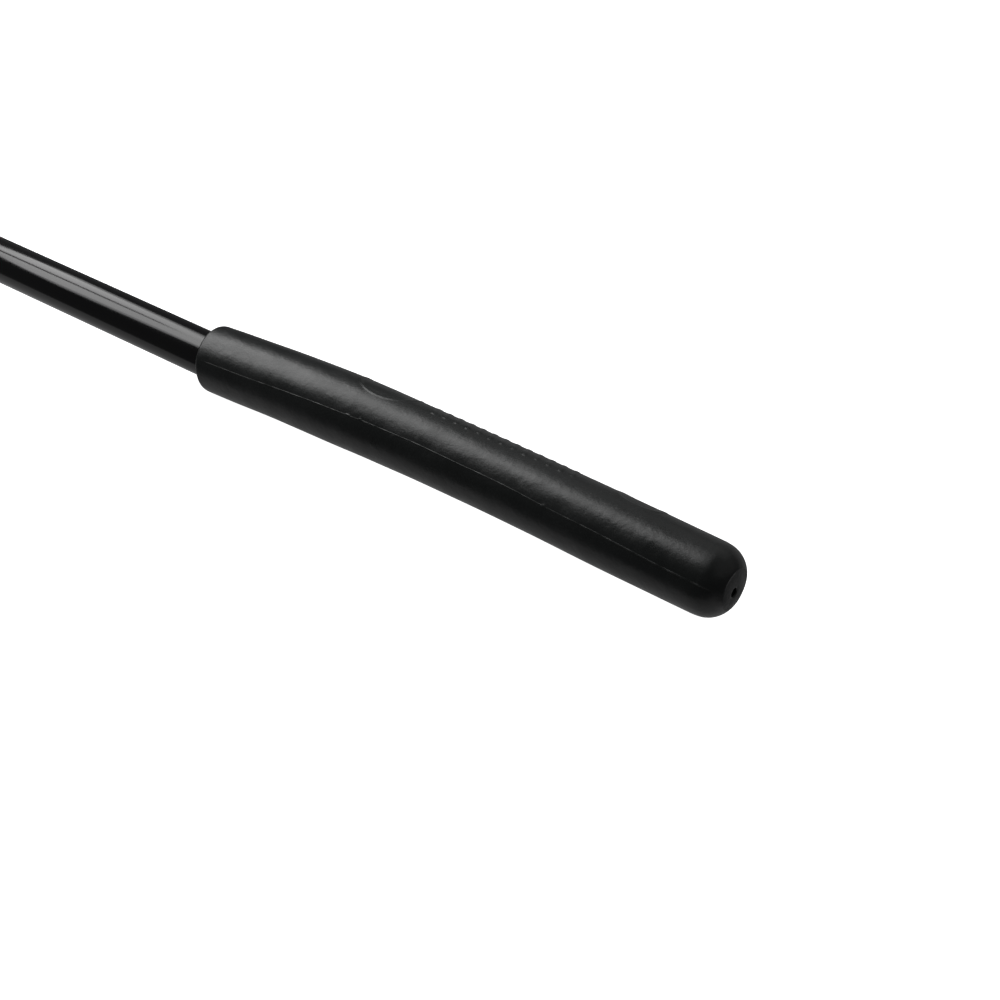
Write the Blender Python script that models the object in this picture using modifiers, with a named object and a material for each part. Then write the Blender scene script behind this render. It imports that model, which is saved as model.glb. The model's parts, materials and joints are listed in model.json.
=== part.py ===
"""Telescoping golf ball retriever, lying closed along X.

+X points at the butt of the grip, -X at the ball head, and +Z is up. The origin is at the
middle of the underside. Lengths along the pole are stations: millimetres from the flat end
of the butt, counted towards the head. Section 1 is the black outer tube with the grip on it,
and sections 2 to 6 slide out of it one from another. A tray with a sprung gate sits on
section 6 and holds one ball.
"""

import math

import bmesh
import bpy
from mathutils import Matrix, Vector

MM = 0.001
FACETS = 32  # around the pole
SMALL_FACETS = 20  # around pins, screws and knuckles
SLIP = 0.15  # between pieces that only touch
CUT_OVER = 2.0  # a cutter runs this far past the wall it cuts

# Overall
TOTAL_LENGTH = 668.5  # butt to the tip of the gate's lip
AXIS_Z = 15.1  # height of the pole's axis, which is the lip radius of the grip

# Grip: radius and rise of its centre above the tube's axis, at stations from the front lip
GRIP_LENGTH = 267.0
GRIP_RADII = ((0, 15.1), (35, 15.65), (70, 15.85), (120, 15.35), (170, 15.3), (215, 15.5), (267, 15.1))
GRIP_RISES = ((0, 0.0), (45, 2.35), (95, 3.75), (165, 3.7), (215, 2.9), (267, 2.0))
GRIP_RING_PITCH = 12.0
LIP_ROUND = 1.2
DOME_LENGTH = 11.3
DOME_RADIUS = 15.0
DOME_FLAT = 8.65  # radius of the flat on its end
DOME_FULLNESS = (0.87, 1.54)  # powers of the sine along the dome and of the cosine across it
BUTT_WALL = 14.0
VENT_RADIUS = 2.0
VENT_RISE = 0.9

# Telescoping tubes, outermost first
TUBE_DIAMETERS = (20.5, 17.4, 14.8, 12.2, 9.6, 7.0)
TUBE_WALL = 0.6
OUTER_TAIL = 16.1
OUTER_MOUTH = 528.0
INNER_TAIL = 34.0
SECTION_STEP = 12.0  # each tube sits this much further forward than the one around it
PLUG_FLANGE = 1.5
PLUG_LENGTH = 12.0
PLUG_HOLE_RADIUS = 1.5

# Mouth collars and tail bushes
COLLAR_SKIRT = 8.0
COLLAR_NOSE = 3.0
COLLAR_WALL = 1.2
COLLAR_CHAMFER = 0.7
FIT = 0.1
BUSH_LENGTH = 45.0
BUSH_LIP = 1.5

# Head body: socket, plate and hinge lugs
SOCKET_START = 580.0
SOCKET_RADIUS = 8.0
SOCKET_FLARE = 596.0
FLARE_RADIUS = 13.0
SOCKET_DEPTH = 23.0
RIVET_STATION = 588.5
RIVET_RADIUS = 1.2
PLATE_START = 604.0
PLATE_END = 609.5
PLATE_HALF_WIDTH = 19.0
PLATE_LOW = 2.0
PLATE_HIGH = 46.0
LUG_INNER = 15.3
LUG_RADIUS = 4.0
GUSSET_THICKNESS = 4.0

# Hinge of the gate
HINGE_STATION = 611.0
HINGE_Z = 53.0
HINGE_PIN_RADIUS = 1.5
KNUCKLE_RADIUS = 3.4
KNUCKLE_INNER = 9.0
KNUCKLE_OUTER = 15.0

# Cradle that the ball sits in
CRADLE_START = 609.8
CRADLE_END = 662.8
CRADLE_HALF_WIDTH = 25.1
CRADLE_WALL = 2.5
CRADLE_FLOOR = 3.0
CRADLE_HIGH = 49.9
CRADLE_REAR_HIGH = 43.0
CRADLE_FRONT_HIGH = 7.5
SCREW_RADIUS = 1.3
SCREW_HEAD_RADIUS = 2.8
SCREW_HEAD_HEIGHT = 1.5
SCREW_LENGTH = 7.4
SCREW_PLACES = ((-14.0, 12.0), (14.0, 12.0), (-14.0, 36.0), (14.0, 36.0))
FLOOR_SLOT_PITCH = 8.0
SLOT_WIDTH = 4.0
SIDE_SLOTS = ((618.5, 41.0), (627.5, 41.0), (636.5, 31.0), (645.5, 17.5))  # station, top

# Gate over the cradle
GATE_THICKNESS = 3.0
GATE_LOW = 50.2
GATE_FRONT = 664.5
GATE_BOTTOM = 36.0
GATE_FLARE = 4.0
GATE_RAIL = 4.6
GATE_RIB = 6.0

# Torsion spring on the hinge pin
SPRING_RADIUS = 3.1
SPRING_WIRE = 1.0
SPRING_TURNS = 6
SPRING_HALF_WIDTH = 7.4
SPRING_POINTS_PER_TURN = 12

# name: colour, roughness, metallic
FINISHES = {
    "grip_rubber": ((0.012, 0.013, 0.014, 1.0), 0.45, 0.0),
    "black_enamel": ((0.004, 0.004, 0.005, 1.0), 0.12, 0.0),
    "bright_aluminium": ((0.75, 0.76, 0.78, 1.0), 0.25, 1.0),
    "black_nylon": ((0.015, 0.015, 0.016, 1.0), 0.5, 0.0),
    "natural_acetal": ((0.75, 0.74, 0.70, 1.0), 0.4, 0.0),
    "orange_plastic": ((0.90, 0.20, 0.02, 1.0), 0.35, 0.0),
    "steel": ((0.60, 0.61, 0.63, 1.0), 0.3, 1.0),
}


# ---------------------------------------------------------------- scene and helpers


def clear_scene():
    for obj in list(bpy.data.objects):
        bpy.data.objects.remove(obj, do_unlink=True)
    for collection in list(bpy.data.collections):
        bpy.data.collections.remove(collection)


def new_collection(name):
    collection = bpy.data.collections.new(name)
    bpy.context.scene.collection.children.link(collection)
    return collection


clear_scene()
PARTS = new_collection("golf_ball_retriever")
CUTTERS = new_collection("cutters")


def material(finish):
    """The finish's material, made the first time that it is asked for."""
    found = bpy.data.materials.get(finish)
    if found:
        return found
    made = bpy.data.materials.new(finish)
    made.use_nodes = True
    shader = made.node_tree.nodes["Principled BSDF"]
    colour, roughness, metallic = FINISHES[finish]
    shader.inputs["Base Color"].default_value = colour
    shader.inputs["Roughness"].default_value = roughness
    shader.inputs["Metallic"].default_value = metallic
    return made


def x_of(station):
    return (TOTAL_LENGTH / 2 - station) * MM


def add_object(name, mesh, finish=None):
    """An object among the parts or, with no finish, a hidden helper among the cutters."""
    obj = bpy.data.objects.new(name, mesh)
    if finish:
        PARTS.objects.link(obj)
        mesh.materials.append(material(finish))
    else:
        CUTTERS.objects.link(obj)
        obj.hide_render = True
        obj.display_type = "WIRE"
    return obj


def evaluated_mesh(obj):
    bpy.context.view_layer.update()
    graph = bpy.context.evaluated_depsgraph_get()
    return bpy.data.meshes.new_from_object(obj.evaluated_get(graph))


def boolean(target, other, operation="DIFFERENCE"):
    modifier = target.modifiers.new(other.name, "BOOLEAN")
    modifier.operation = operation
    modifier.solver = "EXACT"
    modifier.object = other


def shade(obj, angle=35):
    obj.data.shade_smooth()
    obj.data.set_sharp_from_angle(angle=math.radians(angle))
    return obj


def turned(name, profile, finish=None, closed=True, facets=FACETS, axis="POLE", at=(0.0, 0.0, AXIS_Z)):
    """A turned piece. Its profile holds (radius, height) in mm, outer side first, from the top
    of its axis down. On the POLE axis a height is a station, and at gives only y and z; on the
    Y axis at is the (station, y, z) that heights are counted from."""
    mesh = bpy.data.meshes.new(name)
    points = [(radius * MM, 0.0, height * MM) for radius, height in profile]
    edges = [(i, i + 1) for i in range(len(points) - 1)]
    if closed:
        edges.append((len(points) - 1, 0))
    mesh.from_pydata(points, edges, [])
    obj = add_object(name, mesh, finish)
    if axis == "POLE":
        obj.rotation_euler = (0.0, -math.pi / 2, 0.0)
        obj.location = (x_of(0.0), at[1] * MM, at[2] * MM)
    else:
        obj.rotation_euler = (-math.pi / 2, 0.0, 0.0)
        obj.location = (x_of(at[0]), at[1] * MM, at[2] * MM)
    screw = obj.modifiers.new("turn", "SCREW")
    screw.steps = screw.render_steps = facets
    screw.use_merge_vertices = True
    screw.merge_threshold = 1e-6
    return obj


def cylinder(name, radius, low, high, finish=None, **place):
    """A plain round bar from one height of its axis to another, as a turned piece."""
    profile = ((0.0, high), (radius, high), (radius, low), (0.0, low))
    return turned(name, profile, finish, closed=False, **place)


def ring(name, outer, inner, low, high, finish=None, **place):
    profile = ((outer, high), (outer, low), (inner, low), (inner, high))
    return turned(name, profile, finish, **place)


def box(name, stations, widths, heights, finish=None, bevel=0.0):
    """A box between two stations, two widths (y) and two heights (z), all in mm."""
    mesh = bpy.data.meshes.new(name)
    form = bmesh.new()
    bmesh.ops.create_cube(form, size=1.0)
    low = Vector((x_of(max(stations)), min(widths) * MM, min(heights) * MM))
    high = Vector((x_of(min(stations)), max(widths) * MM, max(heights) * MM))
    bmesh.ops.transform(
        form,
        matrix=Matrix.Translation((low + high) / 2) @ Matrix.Diagonal((*(high - low), 1.0)),
        verts=form.verts,
    )
    form.to_mesh(mesh)
    form.free()
    obj = add_object(name, mesh, finish)
    if bevel:
        modifier = obj.modifiers.new("edges", "BEVEL")
        modifier.width = bevel * MM
        modifier.segments = 2
    return obj


def rounded(corners, steps=4):
    """The outline through corners (station, z, rounding radius), with an arc at each corner."""
    outline = []
    for i, (station, z, radius) in enumerate(corners):
        here = Vector((station, z))
        before = Vector(corners[i - 1][:2]) - here
        after = Vector(corners[(i + 1) % len(corners)][:2]) - here
        if not radius:
            outline.append((station, z))
            continue
        half = before.angle(after) / 2
        centre = here + (before.normalized() + after.normalized()).normalized() * (radius / math.sin(half))
        start = here + before.normalized() * (radius / math.tan(half)) - centre
        end = here + after.normalized() * (radius / math.tan(half)) - centre
        sweep = start.angle_signed(end)
        for k in range(steps + 1):
            turn = -sweep * k / steps
            point = centre + Matrix.Rotation(turn, 2) @ start
            outline.append((point.x, point.y))
    return outline


def plate(name, outline, widths, finish=None):
    """A flat outline of (station, z) points in the XZ plane, extruded between two widths."""
    curve = bpy.data.curves.new(name + "_outline", "CURVE")
    curve.dimensions = "2D"
    curve.fill_mode = "BOTH"
    curve.extrude = abs(widths[1] - widths[0]) / 2 * MM
    spline = curve.splines.new("POLY")
    spline.points.add(len(outline) - 1)
    for point, (station, z) in zip(spline.points, outline):
        point.co = (x_of(station), z * MM, 0.0, 1.0)
    spline.use_cyclic_u = True
    guide = bpy.data.objects.new(name + "_outline", curve)
    CUTTERS.objects.link(guide)
    mesh = evaluated_mesh(guide)
    bpy.data.objects.remove(guide)
    form = bmesh.new()
    form.from_mesh(mesh)
    bmesh.ops.remove_doubles(form, verts=form.verts, dist=1e-7)
    bmesh.ops.recalc_face_normals(form, faces=form.faces)
    form.to_mesh(mesh)
    form.free()
    obj = add_object(name, mesh, finish)
    obj.rotation_euler = (math.pi / 2, 0.0, 0.0)
    obj.location = (0.0, (widths[0] + widths[1]) / 2 * MM, 0.0)
    return obj


def along(stations, at):
    """A smooth curve through (place, value) pairs, read at a place between them."""
    last = len(stations) - 1
    for i in range(last):
        if at <= stations[i + 1][0] or i == last - 1:
            break
    slopes = []
    for k in (i, i + 1):
        (left, low), (right, high) = stations[max(k - 1, 0)], stations[min(k + 1, last)]
        slopes.append((high - low) / (right - left))
    (start, first), (end, second) = stations[i], stations[i + 1]
    span = end - start
    t = (at - start) / span
    return (
        (2 * t**3 - 3 * t**2 + 1) * first
        + (t**3 - 2 * t**2 + t) * span * slopes[0]
        + (3 * t**2 - 2 * t**3) * second
        + (t**3 - t**2) * span * slopes[1]
    )


def joint_empty(name, station, y, z, parent=None):
    """An empty on a joint's axis, which the pieces of the moving body are parented to."""
    empty = bpy.data.objects.new(name, None)
    empty.location = (x_of(station), y * MM, z * MM)
    PARTS.objects.link(empty)
    if parent:
        hold(empty, parent)
    return empty


def hold(child, parent):
    """Parents child to parent and leaves it where it is."""
    bpy.context.view_layer.update()
    child.parent = parent
    child.matrix_parent_inverse = parent.matrix_world.inverted()


# ---------------------------------------------------------------- grip and sections


def tube_radius(section):
    return TUBE_DIAMETERS[section - 1] / 2


def bore_radius(section):
    return tube_radius(section) - TUBE_WALL


def tail_of(section):
    return OUTER_TAIL if section == 1 else INNER_TAIL + SECTION_STEP * (section - 2)


def mouth_of(section):
    """The station of a tube's open front end; the last tube ends in the head's socket."""
    if section == len(TUBE_DIAMETERS):
        return SOCKET_START + SOCKET_DEPTH
    return OUTER_MOUTH + SECTION_STEP * (section - 1)


def grip_profile():
    """The grip before it is bowed: bore, front lip, outer side, domed butt."""
    bore = tube_radius(1) + SLIP
    outline = [(0.0, BUTT_WALL), (bore, BUTT_WALL), (bore, GRIP_LENGTH)]
    for k in range(4):
        turn = math.pi / 2 * k / 3
        radius = along(GRIP_RADII, LIP_ROUND) - LIP_ROUND * (1 - math.sin(turn))
        outline.append((radius, GRIP_LENGTH - LIP_ROUND * (1 - math.cos(turn))))
    rings = round((GRIP_LENGTH - LIP_ROUND - DOME_LENGTH) / GRIP_RING_PITCH)
    for k in range(1, rings):
        from_front = LIP_ROUND + (GRIP_LENGTH - LIP_ROUND - DOME_LENGTH) * k / rings
        outline.append((along(GRIP_RADII, from_front), GRIP_LENGTH - from_front))
    for k in range(8):
        turn = math.pi / 2 * k / 7
        reach, share = math.sin(turn) ** DOME_FULLNESS[0], max(math.cos(turn), 0.0) ** DOME_FULLNESS[1]
        outline.append((DOME_FLAT + (DOME_RADIUS - DOME_FLAT) * share, DOME_LENGTH * (1 - reach)))
    outline.append((0.0, 0.0))
    return outline


def make_grip():
    """A rubber sleeve, bowed upwards along its middle, with a straight blind bore for the tube."""
    blank = turned("grip_blank", grip_profile(), closed=False)
    mesh = evaluated_mesh(blank)
    mesh.name = "grip"
    for vertex in mesh.vertices:
        from_axis = math.hypot(vertex.co.x, vertex.co.y) / MM
        from_front = GRIP_LENGTH - vertex.co.z / MM
        if from_axis > tube_radius(1) + 2 * SLIP or from_front > GRIP_LENGTH - BUTT_WALL + 1.0:
            vertex.co.x += along(GRIP_RISES, from_front) * MM
    grip = add_object("grip", mesh, "grip_rubber")
    grip.matrix_world = blank.matrix_world
    bpy.data.objects.remove(blank)
    vent = cylinder(
        "grip_vent",
        VENT_RADIUS,
        -CUT_OVER,
        BUTT_WALL + CUT_OVER,
        facets=SMALL_FACETS,
        at=(0.0, 0.0, AXIS_Z + VENT_RISE),
    )
    boolean(grip, vent)
    return shade(grip)


def make_butt_plug():
    """A flanged plug in the outer tube's tail, bored so that air gets past it."""
    flange_end = OUTER_TAIL - SLIP
    flange_start = flange_end - PLUG_FLANGE
    spigot = bore_radius(1) - FIT
    profile = (
        (spigot - 1.0, OUTER_TAIL + PLUG_LENGTH),
        (spigot, OUTER_TAIL + PLUG_LENGTH - 1.0),
        (spigot, flange_end),
        (tube_radius(1) - FIT, flange_end),
        (tube_radius(1) - FIT, flange_start),
        (PLUG_HOLE_RADIUS, flange_start),
        (PLUG_HOLE_RADIUS, OUTER_TAIL + PLUG_LENGTH),
    )
    return shade(turned("butt_plug", profile, "black_nylon"))


def make_tube(section):
    name = "outer_tube" if section == 1 else f"tube_{section}"
    finish = "black_enamel" if section == 1 else "bright_aluminium"
    tube = ring(name, tube_radius(section), bore_radius(section), tail_of(section), mouth_of(section), finish)
    if section == len(TUBE_DIAMETERS):
        boolean(tube, rivet_hole("tube_rivet_hole"))
    return shade(tube)


def make_collar(section):
    """The black ferrule on a tube's mouth, which the next tube slides through."""
    mouth = mouth_of(section)
    outer = tube_radius(section) + FIT + COLLAR_WALL
    skirt = tube_radius(section) + FIT
    hole = tube_radius(section + 1) + SLIP
    nose = mouth + COLLAR_NOSE
    profile = (
        (outer - COLLAR_CHAMFER, nose),
        (outer, nose - COLLAR_CHAMFER),
        (outer, mouth - COLLAR_SKIRT + COLLAR_CHAMFER),
        (outer - COLLAR_CHAMFER, mouth - COLLAR_SKIRT),
        (skirt, mouth - COLLAR_SKIRT),
        (skirt, mouth + FIT),
        (hole, mouth + FIT),
        (hole, nose),
    )
    name = "outer_tube_collar" if section == 1 else f"tube_{section}_collar"
    return shade(turned(name, profile, "black_nylon"))


def make_bush(section):
    """The sleeve on a tube's tail. It runs in the tube around it and stops at that tube's collar."""
    tail = tail_of(section)
    front = tail - SLIP + BUSH_LENGTH
    outer = bore_radius(section - 1) - FIT
    inner = tube_radius(section) + FIT
    profile = (
        (outer, front),
        (outer, tail - SLIP - BUSH_LIP),
        (bore_radius(section), tail - SLIP - BUSH_LIP),
        (bore_radius(section), tail - SLIP),
        (inner, tail - SLIP),
        (inner, front),
    )
    return shade(turned(f"tube_{section}_bush", profile, "natural_acetal"))


# ---------------------------------------------------------------- head


def rivet_hole(name):
    reach = SOCKET_RADIUS + 3 * CUT_OVER
    return cylinder(
        name,
        RIVET_RADIUS + SLIP,
        -reach,
        reach,
        facets=SMALL_FACETS,
        axis="Y",
        at=(RIVET_STATION, 0.0, AXIS_Z),
    )


def lug_outline():
    """A hinge lug seen from the side: a foot on the plate and a round eye about the pin."""
    foot = [
        (PLATE_START + 0.5, PLATE_HIGH - 10.0),
        (PLATE_END - 0.5, PLATE_HIGH - 10.0),
        (PLATE_END - 0.5, CRADLE_REAR_HIGH + 0.5),
        (PLATE_END + 1.5, CRADLE_REAR_HIGH + 0.5),
    ]
    eye = []
    for k in range(9):
        turn = math.radians(-20 + 200 * k / 8)
        eye.append((HINGE_STATION + LUG_RADIUS * math.cos(turn), HINGE_Z + LUG_RADIUS * math.sin(turn)))
    return foot + eye


def gusset_outline():
    root = AXIS_Z + SOCKET_RADIUS - 2.5
    return [
        (PLATE_START + 1.0, root),
        (PLATE_START + 1.0, PLATE_HIGH - 3.0),
        (PLATE_START - 0.5, PLATE_HIGH - 3.0),
        (SOCKET_FLARE - 4.0, root + 1.5),
        (SOCKET_FLARE - 4.0, root),
    ]


def make_head_body():
    """The black casting that joins pole to cradle: socket, upright plate, gusset and hinge lugs."""
    body = box(
        "head_body",
        (PLATE_START, PLATE_END),
        (-PLATE_HALF_WIDTH, PLATE_HALF_WIDTH),
        (PLATE_LOW, PLATE_HIGH),
        "black_nylon",
        bevel=1.2,
    )
    socket_profile = (
        (0.0, PLATE_START + 1.5),
        (FLARE_RADIUS, PLATE_START + 1.5),
        (FLARE_RADIUS - 0.5, PLATE_START - 0.5),
        (SOCKET_RADIUS + 1.2, PLATE_START - 4.5),
        (SOCKET_RADIUS, SOCKET_FLARE),
        (SOCKET_RADIUS, SOCKET_START + 1.0),
        (SOCKET_RADIUS - 1.0, SOCKET_START),
        (tube_radius(6) + SLIP, SOCKET_START),
        (tube_radius(6) + SLIP, SOCKET_START + SOCKET_DEPTH + 0.4),
        (0.0, SOCKET_START + SOCKET_DEPTH + 0.4),
    )
    boolean(body, turned("head_socket", socket_profile, closed=False), "UNION")
    half = GUSSET_THICKNESS / 2
    boolean(body, plate("head_gusset", gusset_outline(), (-half, half)), "UNION")
    for side in (-1, 1):
        widths = (side * LUG_INNER, side * (PLATE_HALF_WIDTH - 0.2))
        boolean(body, plate(f"head_lug_{side + 2}", lug_outline(), widths), "UNION")
    boolean(body, rivet_hole("head_rivet_hole"))
    reach = PLATE_HALF_WIDTH + CUT_OVER
    hinge_hole = cylinder(
        "head_hinge_hole",
        HINGE_PIN_RADIUS + FIT,
        -reach,
        reach,
        facets=SMALL_FACETS,
        axis="Y",
        at=(HINGE_STATION, 0.0, HINGE_Z),
    )
    boolean(body, hinge_hole)
    for k, (y, z) in enumerate(SCREW_PLACES, 1):
        pilot = cylinder(
            f"head_pilot_{k}",
            SCREW_RADIUS + SLIP,
            PLATE_START - CUT_OVER,
            PLATE_END + CUT_OVER,
            facets=SMALL_FACETS,
            at=(0.0, y, z),
        )
        boolean(body, pilot)
    return shade(body)


def make_head_rivet():
    """The dome-headed rivet that holds the last tube in the head's socket."""
    seat = SOCKET_RADIUS + SLIP
    dome = [(2.2 * math.cos(t), 1.0 * math.sin(t)) for t in (0.0, 0.5, 1.0)]
    top = [(0.0, seat + 1.0)] + [(r, seat + h) for r, h in reversed(dome)]
    bottom = [(r, -seat - h) for r, h in dome] + [(0.0, -seat - 1.0)]
    profile = top + [(RIVET_RADIUS, seat), (RIVET_RADIUS, -seat)] + bottom
    rivet = turned(
        "head_rivet",
        profile,
        "steel",
        closed=False,
        facets=SMALL_FACETS,
        axis="Y",
        at=(RIVET_STATION, 0.0, AXIS_Z),
    )
    return shade(rivet)


def screw_profile(margin=0.0):
    """A countersunk screw whose head is flush with the cradle's inner rear face."""
    face = CRADLE_START + CRADLE_WALL - FIT
    neck = face - SCREW_HEAD_HEIGHT
    top = face + (CUT_OVER if margin else 0.0)
    bottom = face - SCREW_LENGTH - (CUT_OVER if margin else 0.0)
    return (
        (0.0, top),
        (SCREW_HEAD_RADIUS + margin, top),
        (SCREW_HEAD_RADIUS + margin, face - margin),
        (SCREW_RADIUS + margin, neck - margin),
        (SCREW_RADIUS + margin, bottom),
        (0.0, bottom),
    )


def make_cradle_screws():
    screws = []
    for k, (y, z) in enumerate(SCREW_PLACES, 1):
        screw = turned(
            f"cradle_screw_{k}",
            screw_profile(),
            "steel",
            closed=False,
            facets=SMALL_FACETS,
            at=(0.0, y, z),
        )
        screws.append(shade(screw))
    return screws


def make_ball_cradle():
    """An orange scoop: low lip in front, high sides behind, slots in its floor and sides."""
    outline = rounded(
        (
            (CRADLE_START, 0.0, 1.5),
            (CRADLE_END - 3.0, 0.0, 5.0),
            (CRADLE_END, CRADLE_FRONT_HIGH, 1.2),
            (650.0, 20.0, 14.0),
            (632.0, CRADLE_HIGH, 8.0),
            (CRADLE_START, CRADLE_HIGH, 1.5),
        )
    )
    cradle = plate("ball_cradle", outline, (-CRADLE_HALF_WIDTH, CRADLE_HALF_WIDTH), "orange_plastic")
    inner = CRADLE_HALF_WIDTH - CRADLE_WALL
    rear = CRADLE_START + CRADLE_WALL
    front = CRADLE_END - CRADLE_WALL
    boolean(
        cradle,
        box("cradle_inside", (rear, front), (-inner, inner), (CRADLE_FLOOR, CRADLE_HIGH + CUT_OVER)),
    )
    boolean(
        cradle,
        box(
            "cradle_rear_top",
            (CRADLE_START - CUT_OVER, rear + CUT_OVER),
            (-inner, inner),
            (CRADLE_REAR_HIGH, CRADLE_HIGH + CUT_OVER),
        ),
    )
    for k in range(-2, 3):
        y = k * FLOOR_SLOT_PITCH
        boolean(
            cradle,
            box(
                f"cradle_floor_slot_{k + 3}",
                (rear + 9.0, front - 6.0),
                (y - SLOT_WIDTH / 2, y + SLOT_WIDTH / 2),
                (-CUT_OVER, CRADLE_FLOOR + CUT_OVER),
            ),
        )
    reach = CRADLE_HALF_WIDTH + CUT_OVER
    for k, (station, top) in enumerate(SIDE_SLOTS, 1):
        stations = (station - SLOT_WIDTH / 2, station + SLOT_WIDTH / 2)
        boolean(cradle, box(f"cradle_side_slot_{k}", stations, (-reach, reach), (8.5, top)))
    for k, (y, z) in enumerate(SCREW_PLACES, 1):
        hole = turned(
            f"cradle_screw_hole_{k}",
            screw_profile(0.25),
            closed=False,
            facets=SMALL_FACETS,
            at=(0.0, y, z),
        )
        boolean(cradle, hole)
    return shade(cradle, 30)


def gate_outline():
    """The gate seen from the side: flat over the cradle, bent down in front, lip turned out."""
    high = GATE_LOW + GATE_THICKNESS
    inner_front = GATE_FRONT - GATE_THICKNESS
    step = GATE_THICKNESS * math.tan(math.radians(22.5))
    return rounded(
        (
            (HINGE_STATION + 2.5, high, 0.0),
            (HINGE_STATION + 2.5, GATE_LOW, 0.0),
            (inner_front, GATE_LOW, 4.0),
            (inner_front, GATE_BOTTOM, 0.0),
            (inner_front + GATE_FLARE, GATE_BOTTOM - GATE_FLARE, 0.0),
            (inner_front + GATE_FLARE + GATE_THICKNESS, GATE_BOTTOM - GATE_FLARE + 1.5, 0.0),
            (GATE_FRONT, GATE_BOTTOM + step, 0.0),
            (GATE_FRONT, high, 7.0),
        )
    )


def make_ball_gate():
    """The sprung gate: a bent orange lid with windows, hung on two knuckles."""
    gate = plate("ball_gate", gate_outline(), (-CRADLE_HALF_WIDTH, CRADLE_HALF_WIDTH), "orange_plastic")
    low, high = GATE_LOW - CUT_OVER, GATE_LOW + GATE_THICKNESS + CUT_OVER
    reach = CRADLE_HALF_WIDTH + CUT_OVER
    rear = HINGE_STATION - CUT_OVER
    for side in (-1, 1):
        widths = (side * KNUCKLE_OUTER, side * reach)
        boolean(gate, box(f"gate_corner_{side + 2}", (rear, HINGE_STATION + 5.5), widths, (low, high)))
    notch = KNUCKLE_INNER
    boolean(gate, box("gate_spring_notch", (rear, HINGE_STATION + 10.0), (-notch, notch), (low, high)))
    rail = CRADLE_HALF_WIDTH - GATE_RAIL
    for side in (-1, 1):
        widths = (side * GATE_RIB / 2, side * rail)
        for k, stations in enumerate(((624.0, 639.0), (643.0, 657.0))):
            boolean(gate, box(f"gate_window_{side + 2}_{k}", stations, widths, (low, high)))
        front = (GATE_FRONT - GATE_THICKNESS - CUT_OVER, GATE_FRONT + CUT_OVER)
        boolean(gate, box(f"gate_window_{side + 2}_front", front, widths, (GATE_BOTTOM + 2.5, GATE_LOW - 2.5)))
        knuckle = ring(
            f"gate_knuckle_{side + 2}",
            KNUCKLE_RADIUS,
            HINGE_PIN_RADIUS + FIT,
            min(side * KNUCKLE_INNER, side * KNUCKLE_OUTER),
            max(side * KNUCKLE_INNER, side * KNUCKLE_OUTER),
            facets=SMALL_FACETS,
            axis="Y",
            at=(HINGE_STATION, 0.0, HINGE_Z),
        )
        boolean(gate, knuckle, "UNION")
    return shade(gate, 30)


def make_hinge_pin():
    outer = PLATE_HALF_WIDTH + SLIP
    profile = (
        (0.0, outer + 1.4),
        (HINGE_PIN_RADIUS - 0.4, outer + 1.4),
        (HINGE_PIN_RADIUS, outer + 1.0),
        (HINGE_PIN_RADIUS, -outer),
        (2.7, -outer),
        (2.4, -outer - 1.2),
        (0.0, -outer - 1.4),
    )
    pin = turned(
        "hinge_pin",
        profile,
        "steel",
        closed=False,
        facets=SMALL_FACETS,
        axis="Y",
        at=(HINGE_STATION, 0.0, HINGE_Z),
    )
    return shade(pin)


def make_pin_clip():
    """The push-on retaining ring at the pin's plain end."""
    face = PLATE_HALF_WIDTH + SLIP
    clip = ring(
        "hinge_pin_clip",
        3.2,
        HINGE_PIN_RADIUS + FIT,
        face,
        face + 0.8,
        "steel",
        facets=SMALL_FACETS,
        axis="Y",
        at=(HINGE_STATION, 0.0, HINGE_Z),
    )
    return shade(clip)


def make_gate_spring():
    """A torsion spring about the hinge pin, its rear leg down on the head's plate."""
    curve = bpy.data.curves.new("gate_spring", "CURVE")
    curve.dimensions = "3D"
    curve.bevel_depth = SPRING_WIRE / 2 * MM
    curve.bevel_resolution = 2
    curve.use_fill_caps = True
    count = SPRING_TURNS * SPRING_POINTS_PER_TURN
    points = [(HINGE_STATION - SPRING_RADIUS, -SPRING_HALF_WIDTH, PLATE_HIGH + 2 * SLIP)]
    for k in range(count + 1):
        turn = math.pi + 2 * math.pi * k / SPRING_POINTS_PER_TURN
        y = SPRING_HALF_WIDTH * (2 * k / count - 1)
        station = HINGE_STATION + SPRING_RADIUS * math.cos(turn)
        points.append((station, y, HINGE_Z - SPRING_RADIUS * math.sin(turn)))
    spline = curve.splines.new("POLY")
    spline.points.add(len(points) - 1)
    for point, (station, y, z) in zip(spline.points, points):
        point.co = (x_of(station), y * MM, z * MM, 1.0)
    spring = bpy.data.objects.new("gate_spring", curve)
    curve.materials.append(material("steel"))
    PARTS.objects.link(spring)
    return spring


# ---------------------------------------------------------------- assembly


def assemble():
    """Makes every piece and parents it to the empty of the section or gate that it moves with."""
    make_grip()
    make_butt_plug()
    make_tube(1)
    make_collar(1)
    carrier = None
    last = len(TUBE_DIAMETERS)
    for section in range(2, last + 1):
        carrier = joint_empty(f"section_{section}_slide", mouth_of(section), 0.0, AXIS_Z, carrier)
        pieces = [make_tube(section), make_bush(section)]
        if section < last:
            pieces.append(make_collar(section))
        for piece in pieces:
            hold(piece, carrier)
    head = [make_head_body(), make_head_rivet(), make_ball_cradle(), *make_cradle_screws()]
    head += [make_hinge_pin(), make_pin_clip(), make_gate_spring()]
    for piece in head:
        hold(piece, carrier)
    hinge = joint_empty("gate_hinge", HINGE_STATION, 0.0, HINGE_Z, carrier)
    hold(make_ball_gate(), hinge)


assemble()
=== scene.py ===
"""Looks of the telescoping golf ball retriever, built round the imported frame.

Lengths are millimetres, turned into metres by MM where a mesh is made. A station is a distance
along the pole from the flat end of the grip's butt, counted towards the head, as in the part.
"""

import json
import math

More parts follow.
